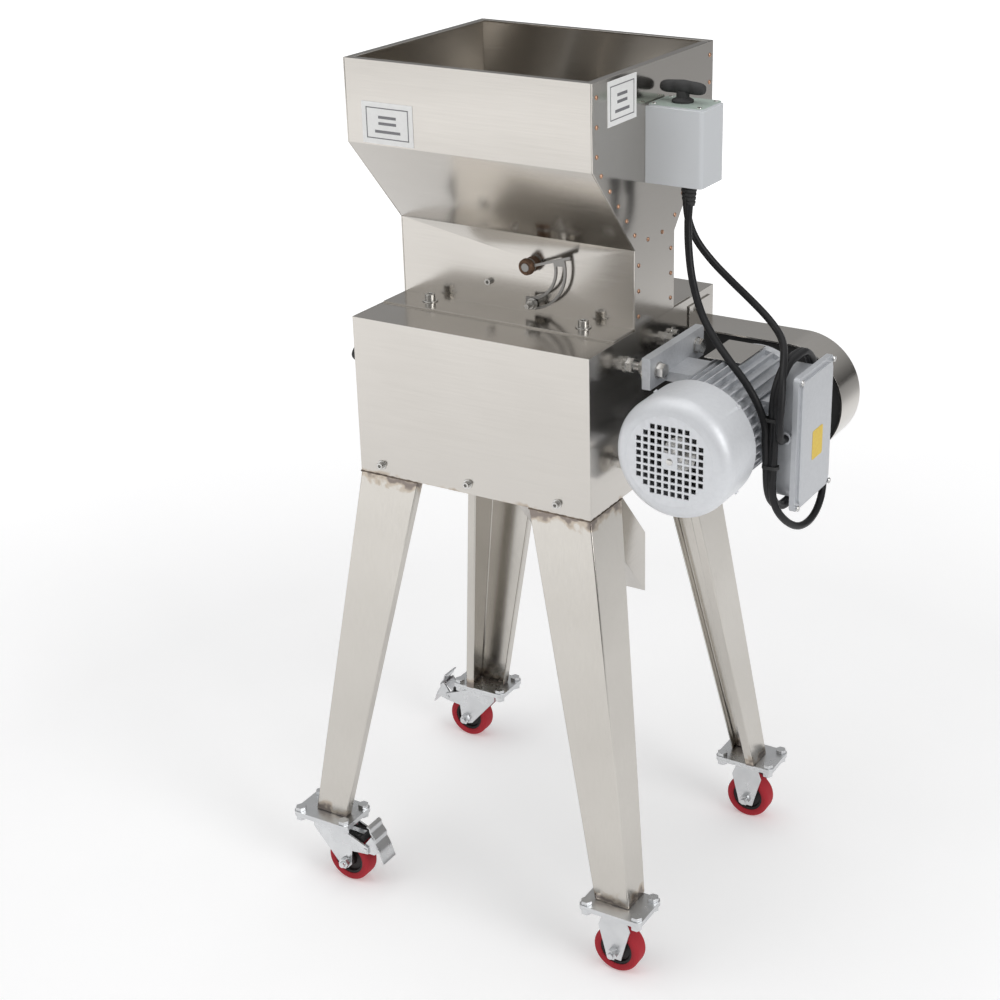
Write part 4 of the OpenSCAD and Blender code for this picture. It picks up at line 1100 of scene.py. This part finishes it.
@dataclass
class BrakePedal:
    """The pressed pedal of a swivel caster, and the ribbed brake shoe before it.

    Outlines are given along the caster and upwards, from the pedal's pin.

    Attributes:
        side: The caster's name.
        facing: The way its outlines look.
        width: The pedal's width.
        cheek: Half the pin's length.
        pin_radius: The pin's radius.
        pin_offset: The pin's place in the CAD pedal's box, along and up.
        sheet: The thickness of the pressed plate.
        arm: The thickness of its two arms.
        shoe_width: The brake shoe's width.
        leaf_width: The width of the spring leaf over the shoe.
        ribs: The shoe's ribs.
        rib_depth: How deep the gaps between the ribs are.
        shoe_box: The shoe's ends, its underside and its top.
        press: The middle line of the pressed plate.
        arm_outline: The outline of an arm.
        leaf: The outline of the spring leaf.
    """

    side: str
    facing: Facing
    width: float = 0.0274
    cheek: float = 0.0175
    pin_radius: float = 0.003
    pin_offset: tuple[float, float] = (0.005, 0.006)
    sheet: float = 0.0018
    arm: float = 0.0025
    shoe_width: float = 0.021
    leaf_width: float = 0.008
    ribs: int = 5
    rib_depth: float = 0.0014
    shoe_box: tuple[float, ...] = (-0.036, -0.0065, 0.0065, 0.0150)
    press: tuple[Point, ...] = (
        (0.0025, 0.0355), (0.0065, 0.0335), (0.0080, 0.0270), (0.0115, 0.0225),
        (0.0145, 0.0175), (0.0140, 0.0125), (0.0170, 0.0075), (0.0205, 0.0010),
        (0.0230, -0.0060), (0.0250, -0.0120), (0.0268, -0.0160))
    arm_outline: tuple[Point, ...] = (
        (-0.004, 0.0045), (-0.005, 0.002), (-0.005, -0.002), (-0.004, -0.0045), (0.002, -0.006),
        (0.012, -0.006), (0.0195, 0.0005), (0.0165, 0.0065), (0.0135, 0.0115), (0.0135, 0.0175),
        (0.0085, 0.0215))
    leaf: tuple[Point, ...] = (
        (-0.041, 0.0199), (-0.036, 0.0199), (-0.033, 0.0150), (-0.0100, 0.0150),
        (-0.0100, 0.0162), (-0.0323, 0.0162), (-0.0352, 0.0212), (-0.041, 0.0212))

    def strip(self) -> Outline:
        """Gives the bent tread plate its thickness.

        Returns:
            The outline of its bent section.
        """
        line = smooth_route([(x, z, 0.0) for x, z in self.press], 4)
        near, far = [], []
        for i, point in enumerate(line):
            ahead = heading(line, i)
            out = Vector((-ahead.y, ahead.x, 0.0)) * self.sheet / 2
            near.append((point.x - out.x, point.y - out.y))
            far.append((point.x + out.x, point.y + out.y))
        return near + far[::-1]

    def shoe(self) -> Outline:
        """Draws the brake shoe's section, ribbed across its top.

        Returns:
            Its outline.
        """
        start, end, low, high = self.shoe_box
        gap = high - self.rib_depth
        step = (end - start) / self.ribs
        top = []
        for rib in range(self.ribs):
            x = end - rib * step
            top += [(x, high), (x - 0.72 * step, high), (x - 0.76 * step, gap),
                    (x - 0.96 * step, gap)]
        return [(start, low), (end, low), *top, (start, gap)]

    def build(self) -> None:
        """Makes the pedal and the brake shoe."""
        node, body = f"pedal_{self.side}", f"{self.side}_pedal"
        box = Place(node)
        ahead = 1.0 if self.facing is Facing.FRONT else -1.0
        pin_x = (box.low.x if ahead > 0 else box.high.x) + ahead * self.pin_offset[0]
        pin_z = box.low.z + self.pin_offset[1]

        def at(depth: float) -> Matrix:
            """Moves the pin's frame along the pin by half of a depth.

            Args:
                depth: The depth of the piece that lies there.

            Returns:
                The moved frame.
            """
            return self.facing.at(pin_x, box.middle.y + ahead * depth / 2, pin_z)

        form = Form().prism(self.strip(), at(self.width), self.width)
        for inset in (0.0, self.width - self.arm):
            form.prism(self.arm_outline, at(self.width - 2 * inset), self.arm)
        form.done(f"pedal_press_{self.side}", body, "zinc", ZINC, 0.0004, (node,))
        turn = Facing.REAR.at(pin_x, box.middle.y, pin_z)
        r, end = self.pin_radius, self.cheek
        pin = Form().lathe(((0, -end), (r, -end), (r, end), (0, end)), turn, 24)
        pin.done(f"pedal_pin_{self.side}", body, "zinc", ZINC, 0.0004)
        caster = f"{self.side}_caster"
        shoe = Form().prism(self.shoe(), at(self.shoe_width), self.shoe_width)
        shoe.done(f"brake_shoe_{self.side}", caster, "black_plastic", BLACK_PLASTIC, 0.0004)
        leaf = Form().prism(self.leaf, at(self.leaf_width), self.leaf_width)
        leaf.done(f"brake_leaf_{self.side}", caster, "zinc", ZINC, 0.0002)


@dataclass
class Casters:
    """The wheels and brakes of the four casters.

    Attributes:
        corners: The casters' names.
    """

    corners: tuple[str, ...] = ("front_left", "front_right", "rear_left", "rear_right")

    def build(self) -> None:
        """Makes the four wheels and the two brakes."""
        for corner in self.corners:
            CasterWheel(f"wheel_{corner}", f"{corner}_wheel").build()
        BrakePedal("front_left", Facing.FRONT).build()
        BrakePedal("rear_left", Facing.REAR).build()


# ------------------------------------------------------------------ trim
def islands(node: str) -> list[Solid]:
    """Splits a CAD node's mesh into its separate solids.

    Args:
        node: The CAD node.

    Returns:
        For each solid, the corner points of its faces.
    """
    bm = bmesh.new()
    bm.from_mesh(bpy.data.objects[node].data)
    bmesh.ops.remove_doubles(bm, verts=bm.verts, dist=CAD_THRESHOLD)
    bm.verts.ensure_lookup_table()
    seen: set[int] = set()
    groups = []
    for start in bm.verts:
        if start.index in seen:
            continue
        seen.add(start.index)
        queue, faces = [start], {}
        while queue:
            vert = queue.pop()
            for face in vert.link_faces:
                faces[face.index] = [corner.co.copy() for corner in face.verts]
            for edge in vert.link_edges:
                other = edge.other_vert(vert)
                if other.index not in seen:
                    seen.add(other.index)
                    queue.append(other)
        groups.append(list(faces.values()))
    bm.free()
    return groups


def box_of(solid: Solid) -> tuple[Vector, Vector]:
    """Finds where a solid lies and how large it is.

    Args:
        solid: The corner points of its faces.

    Returns:
        The middle of its box, and the box's sizes.
    """
    points = [point for face in solid for point in face]
    low = Vector([min(p[k] for p in points) for k in range(3)])
    high = Vector([max(p[k] for p in points) for k in range(3)])
    return (low + high) / 2, high - low


def gathered(solids: list[Solid]) -> Form:
    """Puts whole solids back together in one form.

    Args:
        solids: The solids, each as the corner points of its faces.

    Returns:
        The form.
    """
    form = Form()
    for solid in solids:
        for face in solid:
            form.bm.faces.new([form.bm.verts.new(point) for point in face])
    return form.merged()


@dataclass
class HopperTrim:
    """Rivet heads and blank notices on the hopper, and the gate's fittings.

    Attributes:
        middle: Where the body's centre line lies along X.
        border: Half the plain margin round a notice's print.
        line: The width of the frame printed on a notice.
        ink: The thickness of the print.
        metal_from: The nameplate lies further than this towards the motor.
        arcs_from: The dial scales lie further than this towards the handwheels.
        bush_reach: A gate fitting nearer to the pivot than this is a welded bush.
        bars: The bars on a notice, as shares of its half width and half height.
        rivet: The section of a rivet head.
        boss: The section of the gate's boss.
    """

    middle: float
    border: float = 0.003
    line: float = 0.0012
    ink: float = 0.00015
    metal_from: float = 0.19
    arcs_from: float = 0.16
    bush_reach: float = 0.01
    bars: tuple[tuple[float, ...], ...] = (
        (-0.6, -0.62, 0.6, -0.44), (-0.42, -0.1, 0.42, 0.08), (-0.42, 0.3, 0.42, 0.48))
    rivet: tuple[Point, ...] = (
        (0, -0.0002), (0.0027, -0.0002), (0.0026, 0.0005), (0.0019, 0.0012), (0.0008, 0.0015),
        (0, 0.0015))
    boss: tuple[Point, ...] = (
        (0.0052, 0), (0.0096, 0), (0.0102, 0.0015), (0.0098, 0.0055), (0.0088, 0.007),
        (0.0052, 0.0072))

    def rivets(self) -> None:
        """Makes a domed head on each rivet."""
        sunk = 0.0004
        form = Form()
        for solid in islands("hopper_rivets"):
            centre, _ = box_of(solid)
            right = centre.x > self.middle
            face = Facing.RIGHT if right else Facing.LEFT
            x = centre.x - (sunk if right else -sunk)
            form.lathe(self.rivet, face.at(x, centre.y, centre.z), 20)
        form.done("rivet_heads", "frame", "copper", COPPER, replaces=("hopper_rivets",))

    def notice(self, name: str, place: Matrix, width: float, height: float) -> None:
        """Prints a plain frame and three bars on a blank notice.

        Args:
            name: The piece's name.
            place: The notice's middle, looking outwards.
            width: The notice's width.
            height: The notice's height.
        """
        form = Form()
        w, h, t = width / 2 - 2 * self.border, height / 2 - 2 * self.border, self.line
        edges = [(-w, h - t, w, h), (-w, -h, w, -h + t), (-w, -h, -w + t, h), (w - t, -h, w, h)]
        bars = [(x0 * w, y0 * h, x1 * w, y1 * h) for x0, y0, x1, y1 in self.bars]
        for x0, y0, x1, y1 in edges + bars:
            form.prism(((x0, y0), (x1, y0), (x1, y1), (x0, y1)), place, self.ink)
        form.done(name, "frame", "label_white", NOTICE_INK)

    def plates(self) -> None:
        """Sorts the label plates by place and gives each its finish and print."""
        white, arcs, metal = [], [], []
        for solid in islands("label_plates"):
            centre, _ = box_of(solid)
            if centre.x > self.middle + self.metal_from:
                metal.append(solid)
            elif centre.x < self.middle - self.arcs_from:
                arcs.append(solid)
            else:
                white.append(solid)
        gathered(white).done("notices", "frame", "label_white", NOTICE, 0.0002,
                             ("label_plates",))
        gathered(arcs).done("scale_arcs", "frame", "label_white", ARC_RED)
        gathered(metal).done("motor_nameplate", "frame", "zinc", SHEET, 0.0002)
        for number, solid in enumerate(white):
            centre, size = box_of(solid)
            if size.y < size.x:
                spot = Facing.FRONT.at(centre.x, centre.y - size.y / 2, centre.z)
                self.notice(f"notice_print_{number}", spot, size.x, size.z)
            else:
                spot = Facing.RIGHT.at(centre.x + size.x / 2, centre.y, centre.z)
                self.notice(f"notice_print_{number}", spot, size.y, size.z)

    def gate(self) -> None:
        """Gives the welded gate bushes their rust and the clamp its bright plating."""
        pivot = Place("gate_flap").middle
        welded, bright = [], []
        for solid in islands("gate_fittings"):
            centre, _ = box_of(solid)
            near = math.hypot(centre.x - pivot.x, centre.z - pivot.z) < self.bush_reach
            (welded if near else bright).append(solid)
        gathered(welded).done("gate_bushes", "frame", "dark_steel", RUSTY, 0.0005,
                              ("gate_fittings",))
        gathered(bright).done("gate_clamp", "frame", "zinc", SCREW, 0.0004)
        sector = Place("gate_sector")
        hub = Facing.FRONT.at(pivot.x, sector.high.y - 0.0035, pivot.z)
        Form().lathe(self.boss, hub, 40).done("gate_boss", "gate", "dark_steel", RUSTY)

    def build(self) -> None:
        """Makes all the trim."""
        self.rivets()
        self.plates()
        self.gate()


@dataclass
class LegWelds:
    """Weld beads where the four legs meet the body.

    Attributes:
        middle: Where the body's centre line lies along X.
        leg_width: How far a bead runs along X from the body's corner.
        leg_depth: How far it runs along Y.
        bead: The bead's mean radius.
        sunk: How far the bead lies below the body's underside.
        steps: Points along each side of a leg.
    """

    middle: float
    leg_width: float = 0.084
    leg_depth: float = 0.076
    bead: float = 0.0011
    sunk: float = 0.0008
    steps: int = 22

    def build(self) -> None:
        """Runs an uneven bead round the outside of each leg's top."""
        body, cover = Place("body_shell"), Place("front_cover")
        half_x, half_y = cover.size.x / 2, -cover.low.y
        z = body.low.z - self.sunk
        form = Form()
        for sx in (-1, 1):
            for sy in (-1, 1):
                corner = Vector((self.middle + sx * half_x, sy * half_y, z))
                ends = (corner + Vector((-sx * self.leg_width, 0, 0)), corner,
                        corner + Vector((0, -sy * self.leg_depth, 0)))
                path = []
                for a, b in zip(ends, ends[1:]):
                    path += [a.lerp(b, k / self.steps) for k in range(self.steps)]
                path.append(ends[-1])
                waves = [0.28 * math.sin(2.1 * k) + 0.15 * math.sin(5.3 * k + sx)
                         for k in range(len(path))]
                radii = [self.bead * (1.0 + wave) for wave in waves]
                form.tube(path, radii, 8)
        form.done("leg_welds", "frame", "stainless", WELD)


# ------------------------------------------------------------------ handwheels
@dataclass
class Handwheel:
    """A lobed handwheel with its white dial, bezel and ticks.

    Attributes:
        side: Front or rear.
        lobes: The wheel's lobes.
        wave: How far the lobes stand out from the wheel's mean radius.
        depth: The wheel's depth behind its face.
        thickness: The thickness of the lobed part.
        collar: The radius of the collar behind the wheel.
        screw: The radius of the screw.
        dial_radius: The dial's radius.
        dial_hole: The radius of its hole.
        dial_sheet: Its thickness.
        ticks: The marks round the dial; each fourth is a long one.
    """

    side: str
    lobes: int = 8
    wave: float = 0.0035
    depth: float = 0.022
    thickness: float = 0.021
    collar: float = 0.02
    screw: float = 0.006
    dial_radius: float = 0.0262
    dial_hole: float = 0.0016
    dial_sheet: float = 0.0006
    ticks: int = 40

    def outline(self, radius: float, wave: float) -> Outline:
        """Draws the lobed edge.

        Args:
            radius: Mean radius.
            wave: How far the lobes stand out.

        Returns:
            Its corners.
        """
        count = self.lobes * 14
        return [((radius + wave * math.cos(self.lobes * a)) * math.cos(a),
                 (radius + wave * math.cos(self.lobes * a)) * math.sin(a))
                for a in [2 * math.pi * k / count for k in range(count)]]

    def build(self) -> None:
        """Makes the wheel, its dial and its screw."""
        node, body = f"{self.side}_handwheel", f"{self.side}_knob"
        place = Place(node)
        hand = Place(f"{self.side}_dial_hand")
        y, z = place.middle.y, place.middle.z
        outer = place.size.z / 2
        face_x = place.low.x
        at = Facing.LEFT.at(face_x + self.depth, y, z)
        wheel = Form().prism(self.outline(outer - self.wave, self.wave), at, self.thickness)
        wheel.done(f"{self.side}_wheel_rim", body, "black_plastic", BLACK_PLASTIC, 0.0035,
                   (node,), 4)
        r = self.collar
        turned = Form().lathe(((0, -0.004), (r, -0.004), (r, 0.0005), (0, 0.0005)), at, 64)
        r, tip = self.screw, -(place.high.x - face_x - self.depth)
        turned.lathe(((0, -0.005), (r, -0.005), (r, tip), (0, tip)), at, 40)
        turned.done(f"{self.side}_screw", body, "zinc", SCREW, 0.0004)
        r = self.dial_radius
        rim = Facing.LEFT.at(face_x + 0.0012, y, z)
        bezel = Form().lathe(((r, -0.0004), (r + 0.0035, -0.0004), (r + 0.003, 0.0008),
                              (r + 0.0012, 0.0012), (r, 0.0006)), rim, 72)
        bezel.done(f"{self.side}_bezel", body, "black_plastic", BLACK_PLASTIC)
        floor = Facing.LEFT.at(hand.high.x + 0.0012, y, z)
        hole, t = self.dial_hole, self.dial_sheet
        dial = Form().lathe(((hole, 0), (r, 0), (r, t), (hole, t)), floor, 72)
        dial.done(f"{self.side}_dial", body, "label_white", DIAL)
        self.marks(floor).done(f"{self.side}_ticks", body, "black_plastic", NOTICE_INK)

    def marks(self, floor: Matrix) -> Form:
        """Prints the marks round the dial.

        Args:
            floor: The dial's own frame.

        Returns:
            The marks.
        """
        end = self.dial_radius - 0.002
        form = Form()
        for k in range(self.ticks):
            angle = 2 * math.pi * k / self.ticks
            long, half = (0.0065, 0.0005) if k % 4 == 0 else (0.004, 0.00025)
            start = self.dial_radius - long
            turn = (floor @ Matrix.Translation((0, 0, self.dial_sheet))
                    @ Matrix.Rotation(angle, 4, "Z"))
            form.prism(((start, -half), (end, -half), (end, half), (start, half)), turn, 0.0001)
        return form


# ------------------------------------------------------------------ switch and terminal trim
@dataclass
class ElectricTrim:
    """The switch's top plate and handle, strain reliefs, lid label and screws, hank ties.

    Attributes:
        lead: The leads' diameter.
        plate_inset: How much smaller the switch's top plate is than its housing.
        plate_lift: How far the plate stands above the housing.
        plate_hole: The radius of the hole for the handle.
        screw_inset: How far its screws are from the housing's sides.
        screw: The section of a screw's head.
        boss: The section of the handle's boss.
        stem: The section of the handle's stem.
        wing: Half the thickness of the handle's wing.
        wing_rings: Rings along the wing.
        wing_sides: Corners of each ring.
    """

    lead: float = 0.009
    plate_inset: float = 0.0042
    plate_lift: float = 0.0006
    plate_hole: float = 0.0132
    screw_inset: float = 0.0075
    screw: tuple[Point, ...] = (
        (0, 0), (0.0028, 0), (0.0025, 0.0009), (0.0012, 0.0013), (0, 0.0013))
    boss: tuple[Point, ...] = (
        (0, 0), (0.0125, 0), (0.0125, 0.003), (0.0075, 0.0055), (0.0075, 0.013), (0, 0.013))
    stem: tuple[Point, ...] = ((0, -0.018), (0.005, -0.018), (0.005, 0.001), (0, 0.001))
    wing: float = 0.0078
    wing_rings: int = 28
    wing_sides: int = 24

    def switch(self) -> None:
        """Makes the switch's top plate, its screws and its handle."""
        box = Place("switch_housing")
        knob = Place("switch_handle")
        c, k = box.middle, knob.middle
        plate = Facing.UP.at(k.x, k.y, box.high.z - self.plate_lift)
        width, depth = box.size.x - self.plate_inset, box.size.y - self.plate_inset
        edge = [(x + c.x - k.x, y + c.y - k.y) for x, y in rounded(width, depth, 0.004, 10)]
        top = Form().holed(edge, self.plate_hole, plate, 2 * self.plate_lift)
        top.done("switch_top", "frame", "switch_grey", PLATE_WHITE, 0.0003)
        rest_z = box.high.z + self.plate_lift / 2
        screws = Form()
        for sx in (-1, 1):
            for sy in (-1, 1):
                spot = Facing.UP.at(c.x + sx * (box.size.x / 2 - self.screw_inset),
                                    c.y + sy * (box.size.y / 2 - self.screw_inset), rest_z)
                screws.lathe(self.screw, spot, 24)
        screws.done("switch_screws", "frame", "zinc", SCREW)
        seat = Facing.UP.at(k.x, k.y, rest_z)
        handle = Form().lathe(self.boss, seat, 48).lathe(self.stem, seat, 32)
        handle.done("switch_stem", "switch_knob", "black_plastic", BLACK_PLASTIC, 0.0004,
                    ("switch_handle",))
        self.handle(knob)

    def handle(self, knob: Place) -> None:
        """Makes the handle's wing, waisted on each side of its middle.

        Args:
            knob: The handle's place.
        """
        centre, top, half, sides = knob.middle, knob.high.z, knob.size.x / 2, self.wing_sides
        smallest = 1e-4
        form = Form()
        rings = []
        for i in range(self.wing_rings + 1):
            t = -1 + 2 * i / self.wing_rings
            waist = 1 - 0.35 * math.exp(-((abs(t) - 0.35) / 0.16) ** 2)
            across = self.wing * waist * math.sqrt(max(smallest, 1 - abs(t) ** 7))
            tall = self.wing * (1 - 0.12 * abs(t)) * math.sqrt(max(smallest, 1 - abs(t) ** 8))
            x, z = centre.x + t * half, top - 0.0082 - 0.0012 * abs(t)
            turns = [2 * math.pi * j / sides for j in range(sides)]
            rings.append([form.bm.verts.new((x, centre.y + across * math.cos(turn),
                                             z + tall * math.sin(turn))) for turn in turns])
        for one, two in zip(rings, rings[1:]):
            for j in range(sides):
                after = (j + 1) % sides
                form.bm.faces.new((one[j], one[after], two[after], two[j]))
        form.bm.faces.new(rings[0][::-1])
        form.bm.faces.new(rings[-1])
        form.done("switch_wing", "switch_knob", "black_plastic", BLACK_PLASTIC)

    def relief(self, name: str, point: Vector) -> None:
        """Makes the tapered, ringed strain relief where a lead leaves the switch's underside.

        Args:
            name: The piece's name.
            point: Where the lead leaves.
        """
        down = Vector((0, 0, -1)).to_track_quat("Z", "Y").to_matrix().to_4x4()
        r = self.lead / 2
        profile = [(r + 0.0001, 0.0), (r + 0.0042, 0.0), (r + 0.0044, 0.003), (r + 0.003, 0.0036)]
        for ring in range(4):
            z, fat = 0.0045 + 0.0048 * ring, r + 0.0026 - 0.00045 * ring
            profile += [(fat - 0.0009, z), (fat, z + 0.0008), (fat - 0.0002, z + 0.0034),
                        (fat - 0.0011, z + 0.0042)]
        profile += [(r + 0.0006, 0.0245), (r + 0.0001, 0.0245)]
        form = Form().lathe(profile, Matrix.Translation(point) @ down, 40)
        form.done(name, "frame", "black_rubber", BLACK_PLASTIC)

    def lid(self) -> None:
        """Puts a blank yellow label on the terminal box's lid, and a screw on each corner."""
        lid = Place("terminal_lid")
        spot = Facing.RIGHT.at(lid.high.x - 0.0015, lid.middle.y + 0.004, lid.middle.z - 0.012)
        Form().prism(rounded(0.03, 0.036, 0.003), spot, 0.0003).done(
            "lid_label", "frame", "label_white", NOTICE_YELLOW)
        dome = ((0, -0.0016), (0.0036, -0.0016), (0.0036, -0.0008), (0.0030, -0.0001),
                (0.0016, 0.0001), (0, 0.0001))
        form = Form()
        for y in (lid.low.y + 0.004, lid.high.y - 0.004):
            for z in (lid.low.z + 0.005, lid.high.z - 0.005):
                form.lathe(dome, Facing.RIGHT.at(lid.high.x, y, z), 28)
        form.done("lid_screws", "frame", "zinc", SCREW)

    def ties(self) -> None:
        """Ties the hank in two places."""
        ring = Place("mains_coil")
        loose, strap = 0.0026, 0.0024
        w, h = ring.size.x + loose, self.lead + loose
        outer, inner = rounded(w, h, 0.005), rounded(w - strap, h - strap, 0.004)
        for number, up in enumerate((-0.028, 0.03)):
            place = Facing.UP.at(ring.middle.x, ring.low.y + self.lead / 2, ring.middle.z + up)
            Form().frame(outer, inner, place, 0.004).done(
                f"hank_tie_{number}", "frame", "black_rubber", BLACK_PLASTIC)

    def build(self, leads: Leads) -> None:
        """Makes all the electric trim.

        Args:
            leads: The leads, which say where they leave the switch.
        """
        self.switch()
        self.lid()
        self.ties()
        floor = Place("switch_housing").low.z
        for name, route in (("motor_lead_relief", leads.motor_route),
                            ("mains_lead_relief", leads.mains_route)):
            start = leads.placed(route)[0]
            self.relief(name, Vector((start.x, start.y, floor)))


# ------------------------------------------------------------------ motor trim
@dataclass
class MotorTrim:
    """The brass screws of the fan cowl and the rivet at its middle.

    Attributes:
        screws: Screws round the cowl.
        sunk: How far a screw's foot lies inside the cowl's largest radius.
        screw: The section of a screw's head.
        rivet: The section of the rivet's head.
    """

    screws: int = 4
    sunk: float = 0.0028
    screw: tuple[Point, ...] = (
        (0, 0), (0.0042, 0), (0.0042, 0.0016), (0.0030, 0.0026), (0, 0.0027))
    rivet: tuple[Point, ...] = (
        (0, 0), (0.0042, 0), (0.004, 0.0016), (0.0022, 0.0024), (0, 0.0024))

    def build(self) -> None:
        """Makes the cowl's screws and rivet."""
        cowl = Place("fan_cowl")
        c = cowl.middle
        radius = cowl.size.x / 2 - self.sunk
        form = Form()
        for number in range(self.screws):
            angle = math.radians(45) + 2 * math.pi * number / self.screws
            out = Vector((math.cos(angle), 0, math.sin(angle)))
            point = Vector((c.x, cowl.high.y - 0.004, c.z)) + radius * out
            place = Matrix.Translation(point) @ out.to_track_quat("Z", "Y").to_matrix().to_4x4()
            form.lathe(self.screw, place, 24)
        form.done("cowl_screws", "frame", "copper", BRASS)
        nose = Facing.FRONT.at(c.x, cowl.low.y + 0.0012, c.z)
        Form().lathe(self.rivet, nose, 24).done("cowl_rivet", "frame", "zinc", SCREW)


def main() -> None:
    """Builds the whole scene in order."""
    logging.basicConfig(level=logging.INFO, format="%(message)s")
    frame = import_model()
    middle = Place("front_cover").middle.x
    studio = Studio()
    studio.camera(middle)
    leads = Leads(middle)
    leads.build()
    Metalwork().build(frame["record"])
    Casters().build()
    HopperTrim(middle).build()
    LegWelds(middle).build()
    for side in ("front", "rear"):
        Handwheel(side).build()
    ElectricTrim().build(leads)
    MotorTrim().build()
    studio.build()


if __name__ == "__main__":
    main()
